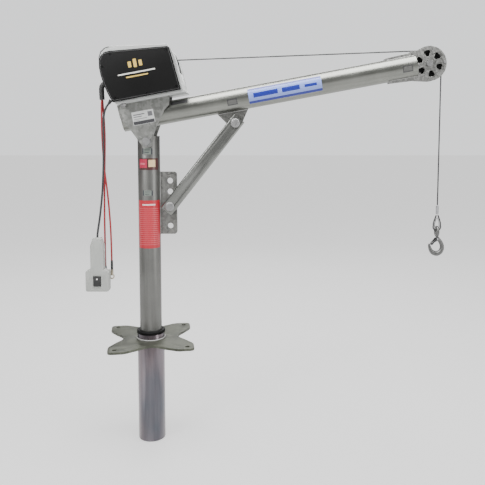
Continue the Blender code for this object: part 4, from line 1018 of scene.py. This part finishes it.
eye_run = smooth_route(eye_path(0.0125, THIMBLE_LOW - 0.0053, FERRULE_LOW - 0.0028, 14), 0.0011)
finish_piece(strands("rope_eye_loop", eye_run), rope_wire, "rope_end", "rope_eye", slot="wire_rope")
thimble_run = smooth_route(eye_path(0.0078, THIMBLE_LOW, FERRULE_LOW - 0.0115, 14), 0.0016)
thimble = joined("thimble_channel", [round_bar("lip", [(x, y + shift, z) for x, y, z in thimble_run], 0.0009,
                                               sides=2) for shift in (-0.0018, 0, 0.0018)])
finish_piece(thimble, turned_steel, "rope_end", "thimble", slot="steel")
ferrule = lathe("swaged_ferrule",
                [(0.0032, FERRULE_LOW), (0.0046, FERRULE_LOW + 0.0022), (0.0050, FERRULE_LOW + 0.005),
                 (0.0047, FERRULE_LOW + 0.0100), (0.0050, FERRULE_LOW + 0.0115),
                 (0.0047, FERRULE_LOW + 0.0180), (0.0050, FERRULE_LOW + 0.0195),
                 (0.0049, FERRULE_TOP - 0.0040), (0.0040, FERRULE_TOP - 0.0010), (0.0027, FERRULE_TOP)],
                Matrix.Translation((ROPE_X, 0, 0)), 40)
finish_piece(ferrule, turned_steel, "rope_end", "rope_ferrule", slot="steel")

# ---------------------------------------------------------------- hook and safety latch
# A drop-forged eye hook with a fine scale surface, and a folded, sprung latch on a rivet across its
# neck.

HOOK_PATH = [(0, 0.3505), (0.0045, 0.3445), (0.0120, 0.3350), (0.0175, 0.3240), (0.0187, 0.3120),
             (0.0140, 0.3010), (0.0040, 0.2945), (-0.0070, 0.2953), (-0.0160, 0.3015), (-0.0212, 0.3110),
             (-0.0235, 0.3200), (-0.0250, 0.3270)]
HOOK_RADII = [0.0052, 0.0058, 0.0063, 0.0067, 0.0071, 0.0080, 0.0085, 0.0080, 0.0068, 0.0055, 0.0042, 0.0022]


def forged_hook():
    """The hook's bar thickens through its bowl and tapers to its tip; the eye stands across it."""
    fine = smooth_route([(x + ROPE_X, z, r) for (x, z), r in zip(HOOK_PATH, HOOK_RADII)], 0.0012)
    bar = round_bar("bar", [(p.x, 0, p.y) for p in fine], 0.008, [p.z for p in fine], sides=6)
    bpy.ops.object.select_all(action="DESELECT")
    bpy.ops.mesh.primitive_torus_add(location=(ROPE_X, 0, EYE_Z), rotation=(0, math.pi / 2, 0),
                                     major_segments=56, minor_segments=20, major_radius=EYE_RADIUS,
                                     minor_radius=EYE_WIRE)
    eye = seat(bpy.context.object, "eye", Matrix())
    for face in eye.data.polygons:
        face.use_smooth = True
    return joined("forged_hook", [bar, eye])


forging = zinc_plate("forging", (0.08, 0.08, 0.08), (0.19, 0.19, 0.185), rough=0.30, spangle=260,
                     metallic=0.85)
finish_piece(forged_hook(), forging, "hook", "hook", slot="steel")
latch_steel = moulded("latch_steel", (0.020, 0.020, 0.021), (0.05, 0.05, 0.05), 0.32, Metallic=0.4)
skinned("latch_tongue", "hook_latch", 0.0003, latch_steel, "latch", "bright_zinc")
rivet = lathe("latch_rivet", [(0.0018, -0.0112), (0.0028, -0.0104), (0.0028, -0.0093), (0.0014, -0.0093),
                              (0.0014, 0.0093), (0.0028, 0.0093), (0.0028, 0.0104), (0.0018, 0.0112)],
              Matrix.Translation((ROPE_X + 0.001, 0, 0.3430)) @ ACROSS, 28)
finish_piece(rivet, turned_steel, "hook", "latch_pin", slot="steel")

# ---------------------------------------------------------------- winch mount plate and its bolts
# A silver-painted 6 mm plate lies across the side plates. Four M10 bolts through it hold the winch,
# each with a hex nut beneath.

winch_silver = zinc_plate("winch_silver", (0.46, 0.47, 0.46), (0.62, 0.63, 0.62), rough=0.34, spangle=400,
                          metallic=0.35)
skinned("winch_plate_skin", "winch_mount_plate", 0.0008, winch_silver, "boom", "silver_paint", 3)
for number, (u, y) in enumerate([(-0.045, -0.070), (-0.045, 0.070), (0.082, -0.026), (0.082, 0.026)], 1):
    spot = BOOM @ Matrix.Translation((u, y, 0.1313))
    bolt = joined(f"winch_bolt_{number}", [
        hex_bar("head", 0.0148, 0.0104, 0.0170, spot),
        lathe("shank", [(0.0048, -0.0120), (0.0050, -0.0112), (0.0050, 0.0110)], spot, 32),
        hex_bar("nut", 0.0160, -0.0084, -0.0004, spot)])
    finish_piece(bolt, bolt_steel, "boom", f"mount_bolt_{number}", slot="steel")

# ---------------------------------------------------------------- winch housing
# One folded sheet, silver painted, with pressed ribs down its front face round the rope window. A
# black moulded cap closes its back.

skinned("winch_sheet", "winch_housing", 0.0006, winch_silver, "boom", "silver_paint")
front_line = [(0.1494, 0.150), (0.1473, 0.200), (0.1465, 0.215), (0.1437, 0.244), (0.1378, 0.2665)]
ribs = []
for i in range(5):
    for side in (-1, 1):
        y = side * (0.054 + 0.0075 * i)
        ribs.append(round_bar("rib", [BOOM @ Vector((u, y, v)) for u, v in front_line], 0.0019, sides=2))
finish_piece(joined("front_ribs", ribs), winch_silver, "boom", slot="silver_paint")


def folded_lip(name, side):
    """The sheet's edge turned in behind a side cover, from the front's foot over to the rear corner."""
    outer = [Vector(p) for p in ((0.1475, 0.1420), (0.1447, 0.2150), (0.1418, 0.2432), (0.1360, 0.2665),
                                 (0.1270, 0.2826), (-0.0500, 0.3085), (-0.0652, 0.3062), (-0.0782, 0.2978),
                                 (-0.0866, 0.2826), (-0.0902, 0.2600))]
    centre = Vector((0.03, 0.22))
    bpy.ops.object.select_all(action="DESELECT")
    bpy.ops.mesh.primitive_grid_add(x_subdivisions=len(outer) - 1, y_subdivisions=1, size=1)
    piece = bpy.context.object
    for vertex in piece.data.vertices:
        point = outer[round((vertex.co.x + 0.5) * (len(outer) - 1))]
        inner = point + (centre - point).normalized() * 0.022
        u, v = point if vertex.co.y > 0 else inner
        vertex.co = (u, side * 0.0893, v)
    reshape(piece, "SOLIDIFY", thickness=0.0012, offset=0)
    bpy.ops.object.mode_set(mode="EDIT")
    bpy.ops.mesh.select_all(action="SELECT")
    bpy.ops.mesh.normals_make_consistent(inside=False)
    bpy.ops.object.mode_set(mode="OBJECT")
    return seat(piece, name, BOOM)


for side, lip_name in ((-1, "sheet_lip_near"), (1, "sheet_lip_far")):
    finish_piece(folded_lip(lip_name, side), winch_silver, "boom", slot="silver_paint")
top_line = [(0.122, 0.2862), (0.080, 0.2923), (0.020, 0.3010), (-0.044, 0.3103)]
ribs = [round_bar("rib", [BOOM @ Vector((u, y, v)) for u, v in top_line], 0.0016, sides=2)
        for y in (-0.062, -0.040, -0.020, 0.0, 0.020, 0.040, 0.062)]
finish_piece(joined("top_ribs", ribs), winch_silver, "boom", slot="silver_paint")
matt_black = moulded("matt_black", (0.002, 0.002, 0.002), (0.005, 0.005, 0.005), 0.46, grain=650,
                     Specular_IOR_Level=0.16)
skinned("rear_cap", "winch_end_cap", 0.0008, matt_black, "boom", "black_plastic")
rear_line = [(-0.0885, 0.2800), (-0.0915, 0.2590), (-0.0915, 0.2290), (-0.0890, 0.2030)]
slats = [round_bar("slat", [BOOM @ Vector((u, -0.066 + 0.022 * i, v)) for u, v in rear_line], 0.0016, sides=2)
         for i in range(7)]
finish_piece(joined("rear_slats", slats), matt_black, "boom", slot="black_plastic")

# ---------------------------------------------------------------- winch side covers
# Black moulded covers, 14 mm deep, closed on the outside, with a raised edge band whose grey is a painted
# highlight along the rounded rim. Each is held by six small screws and carries its upper edge a little below
# the sheet's.

COVER_OUTLINE = [(-0.069, 0.1385), (0.146, 0.1385), (0.134, 0.276), (0.130, 0.280), (-0.054, 0.299),
                 (-0.068, 0.297), (-0.080, 0.289), (-0.088, 0.274), (-0.0915, 0.252), (-0.0915, 0.226),
                 (-0.088, 0.198), (-0.082, 0.170), (-0.076, 0.150)]
COVER_FACE = 0.1043
COVER_SCREWS = [(-0.060, 0.150), (0.040, 0.1465), (0.134, 0.150), (0.124, 0.270), (-0.050, 0.288),
                (-0.081, 0.252)]


def inset(outline, distance):
    """The outline, given anticlockwise, with each side moved inward by distance."""
    moved = []
    for i, point in enumerate(outline):
        before, here, after = Vector(outline[i - 1]), Vector(point), Vector(outline[(i + 1) % len(outline)])
        first, second = (here - before).normalized(), (after - here).normalized()
        normals = [Vector((-first.y, first.x)), Vector((-second.y, second.x))]
        middle = (normals[0] + normals[1]).normalized()
        moved.append(here + middle * distance / max(middle.dot(normals[0]), 0.5))
    return moved


def top_drop(v):
    """How far the cover is lowered at this height: not at all halfway up, most along its upper edge."""
    return 0.0040 * min(max((v - 0.230) / 0.060, 0), 1)


# The grey of the raised edge band is a painted highlight along each cover's rounded rim.
painted_highlight_edge = moulded("painted_highlight_edge", (0.05, 0.05, 0.05), (0.11, 0.11, 0.11), 0.34)
for side, side_name in ((-1, "winch_cover_near"), (1, "winch_cover_far")):
    shell = clean_copy(side_name + "_shell", side_name, 0.0022, 4)
    for vertex in shell.data.vertices:
        u, y, v = BOOM.inverted() @ vertex.co
        vertex.co = BOOM @ Vector((u, y, v - top_drop(v)))
    finish_piece(shell, matt_black, "boom", side_name, slot="black_plastic")
    # The band round each cover carries the painted edge highlight.
    rim = [BOOM @ Vector((p.x, side * (COVER_FACE - 0.0009), p.y - top_drop(p.y)))
           for p in inset(COVER_OUTLINE, 0.0042)]
    finish_piece(joined(side_name + "_edge_band", [round_bar("band", rim, 0.0011, cyclic=True, sides=2)]),
                 painted_highlight_edge, "boom", slot="black_plastic")
    heads = []
    for u, v in COVER_SCREWS:
        socket = Matrix.Translation((u, side * (COVER_FACE - 0.0010), v - top_drop(v)))
        spot = BOOM @ socket @ Matrix.Rotation(-side * math.pi / 2, 4, "X")
        heads.append(lathe("head", [(0.0034, 0), (0.0034, 0.0008), (0.0030, 0.0010), (0.0015, 0.0010),
                                    (0.0014, 0.0002)], spot, 20))
    finish_piece(joined(side_name + "_screws", heads), screw_zinc, "boom", slot="steel")

# Plain marks on the near cover: three gold bars, a long pale bar beneath them and a short gold one.
gold_ink = printed("gold_ink", (0.60, 0.42, 0.10), [], rough=0.30)
pale_ink = printed("pale_ink", (0.68, 0.67, 0.62), [], rough=0.30)
for mark_name, u, v, width, height, ink in (("cover_bar_left", 0.004, 0.2420, 0.010, 0.018, gold_ink),
                                            ("cover_bar_middle", 0.021, 0.2440, 0.010, 0.026, gold_ink),
                                            ("cover_bar_right", 0.038, 0.2420, 0.010, 0.018, gold_ink),
                                            ("cover_long_bar", 0.0205, 0.2155, 0.118, 0.0042, pale_ink),
                                            ("cover_short_bar", 0.0205, 0.2045, 0.070, 0.0040, gold_ink)):
    spot = BOOM @ Matrix.Translation((u, -COVER_FACE + 0.0001, v)) @ FACING_OUT
    finish_piece(flat_label(mark_name, width, height, 0.0012, 0.00025, spot), ink, "boom",
                 slot="light_plastic")

# ---------------------------------------------------------------- winch frames, drum and rope turns
# Two 4 mm steel frames carry the drum's shaft. The drum is one turned piece with a flange at each
# end, and the rope lies on it in close turns.

frame_steel = zinc_plate("frame_steel", (0.24, 0.24, 0.24), (0.38, 0.38, 0.38), rough=0.38, spangle=120)
for side_name in ("winch_frame_near", "winch_frame_far"):
    skinned(side_name + "_skin", side_name, 0.0005, frame_steel, "boom", "steel")
DRUM_SPOT = BOOM @ Matrix.Translation((DRUM_AT.x, 0, DRUM_AT.y)) @ ACROSS
drum = lathe("rope_drum",
             [(0.0062, -0.086), (0.0070, -0.0852), (0.0070, -0.054), (0.0475, -0.054), (0.0480, -0.0535),
              (0.0480, -0.0505), (0.0475, -0.050), (0.0394, -0.050), (0.0394, 0.050), (0.0475, 0.050),
              (0.0480, 0.0505), (0.0480, 0.0535), (0.0475, 0.054), (0.0070, 0.054), (0.0070, 0.0692),
              (0.0062, 0.070)], DRUM_SPOT, 72)
finish_piece(drum, turned_steel, "drum", "winch_drum", slot="steel")


TURNS = 19
TURN_STEPS = 40
TURN_RADIUS = 0.0420
TURNS_HALF = 0.0470


def drum_winding():
    """Close turns of rope, each laid beside the last."""
    points = []
    for i in range(TURNS * TURN_STEPS + 1):
        angle = 2 * math.pi * i / TURN_STEPS
        y = -TURNS_HALF + 2 * TURNS_HALF * i / (TURNS * TURN_STEPS)
        points.append(DRUM_SPOT @ Vector((TURN_RADIUS * math.cos(angle), TURN_RADIUS * math.sin(angle), y)))
    return joined("rope_turns", [round_bar("turns", points, 0.00235, sides=2)])


def turns_finish():
    """Wire rope seen end-on in close turns: slanting strand shadows over the metal."""
    made, shader, place = new_finish("rope_turns_wire", metallic=0.7)
    lay = place.node("TexWave", {"wave_type": "BANDS", "bands_direction": "DIAGONAL"},
                     {"Vector": place, "Scale": 130.0, "Distortion": 1.0}, out=1)
    lay.blend((0.13, 0.13, 0.13), (0.36, 0.36, 0.36)).feed(shader, "Base Color")
    (0.5 - lay * 0.15).feed(shader, "Roughness")
    lay.bump(shader, 0.4, 0.0004)
    return made


finish_piece(drum_winding(), turns_finish(), "drum", "rope_winding", slot="wire_rope")

# ---------------------------------------------------------------- gears, motor and contactor
# Two stages of straight spur gears, greased steel, stand between the near frame and its cover. The
# motor lies across the winch behind the drum, and the contactor box sits beside the far frame.


def greased_steel():
    """Cut gear steel with a smeared film of grease over it."""
    made, shader, place = new_finish("gear_steel", metallic=0.85, Coat_Weight=0.4, Coat_Roughness=0.15)
    smear = place.noise(45, 4.0)
    smear.blend((0.16, 0.15, 0.13), (0.32, 0.31, 0.28)).feed(shader, "Base Color")
    (0.25 + smear * 0.25).feed(shader, "Roughness")
    smear.bump(shader, 0.15, 0.0005)
    return made


gear_steel = greased_steel()
for gear_name, body in (("drum_gear", "drum"), ("mid_gear", "mid_gear"), ("motor_rotor", "rotor")):
    skinned(gear_name + "_cut", gear_name, 0.0002, gear_steel, body, "steel", 1)
GEAR_APART = 0.045
MOTOR_AT = DRUM_AT.copy()
for bearing in (math.radians(150), math.radians(200)):
    MOTOR_AT += Vector((math.cos(bearing), math.sin(bearing))) * GEAR_APART
MOTOR_SPOT = BOOM @ Matrix.Translation((MOTOR_AT.x, 0, MOTOR_AT.y)) @ ACROSS
case = lathe("motor_can",
             [(0.0053, -0.0575), (0.0255, -0.0575), (0.0270, -0.0560), (0.0270, -0.0440), (0.0264, -0.0435),
              (0.0264, 0.0435), (0.0270, 0.0440), (0.0270, 0.0560), (0.0255, 0.0575), (0.0053, 0.0575),
              (0.0053, 0.0520), (0.0220, 0.0520), (0.0220, -0.0520), (0.0053, -0.0520)], MOTOR_SPOT, 64,
             ring=True)
finish_piece(case, matt_black, "boom", "motor_case", slot="black_plastic")
skinned("contactor_box", "contactor", 0.0008, nylon, "boom", "black_plastic", 2)

# ---------------------------------------------------------------- boot and gland
# A black rubber boot covers the battery terminals where the red leads leave. A ribbed, tapered
# strain relief holds the pendant's cord at the winch's lower rear corner.

BOOT_RADIUS = 0.0085
GLAND_RADIUS = 0.0062
GLAND_STEPS = 15
boot_rubber = insulation("boot_rubber", (0.010, 0.010, 0.010), (0.024, 0.024, 0.024), 0.55, 400)
boot_route = smooth_route([(-0.0965, -0.040, 0.206), (-0.1030, -0.040, 0.2035), (-0.1085, -0.040, 0.1960),
                           (-0.1120, -0.040, 0.1800), (-0.1150, -0.040, 0.1575)], 0.0022)
swell = [BOOT_RADIUS * (1 - 0.06 * (i % 4 == 0)) for i in range(len(boot_route))]
boot = joined("terminal_boot",
              [round_bar("boot", [BOOM @ p for p in boot_route], BOOT_RADIUS, swell, sides=8)])
finish_piece(boot, boot_rubber, "boom", "lead_boot", slot="black_rubber")
gland_from = Vector((-0.0812, -0.070, 0.1484))
gland_to = Vector((-0.0905, -0.070, 0.1385))
gland_run = [BOOM @ gland_from.lerp(gland_to, i / GLAND_STEPS) for i in range(GLAND_STEPS + 1)]
swell = [(GLAND_RADIUS - 0.0014 * i / GLAND_STEPS) * (1 - 0.14 * (i % 3 == 1))
         for i in range(GLAND_STEPS + 1)]
gland = joined("cord_gland", [round_bar("gland", gland_run, GLAND_RADIUS, swell, sides=8)])
finish_piece(gland, boot_rubber, "boom", "pendant_gland", slot="black_rubber")
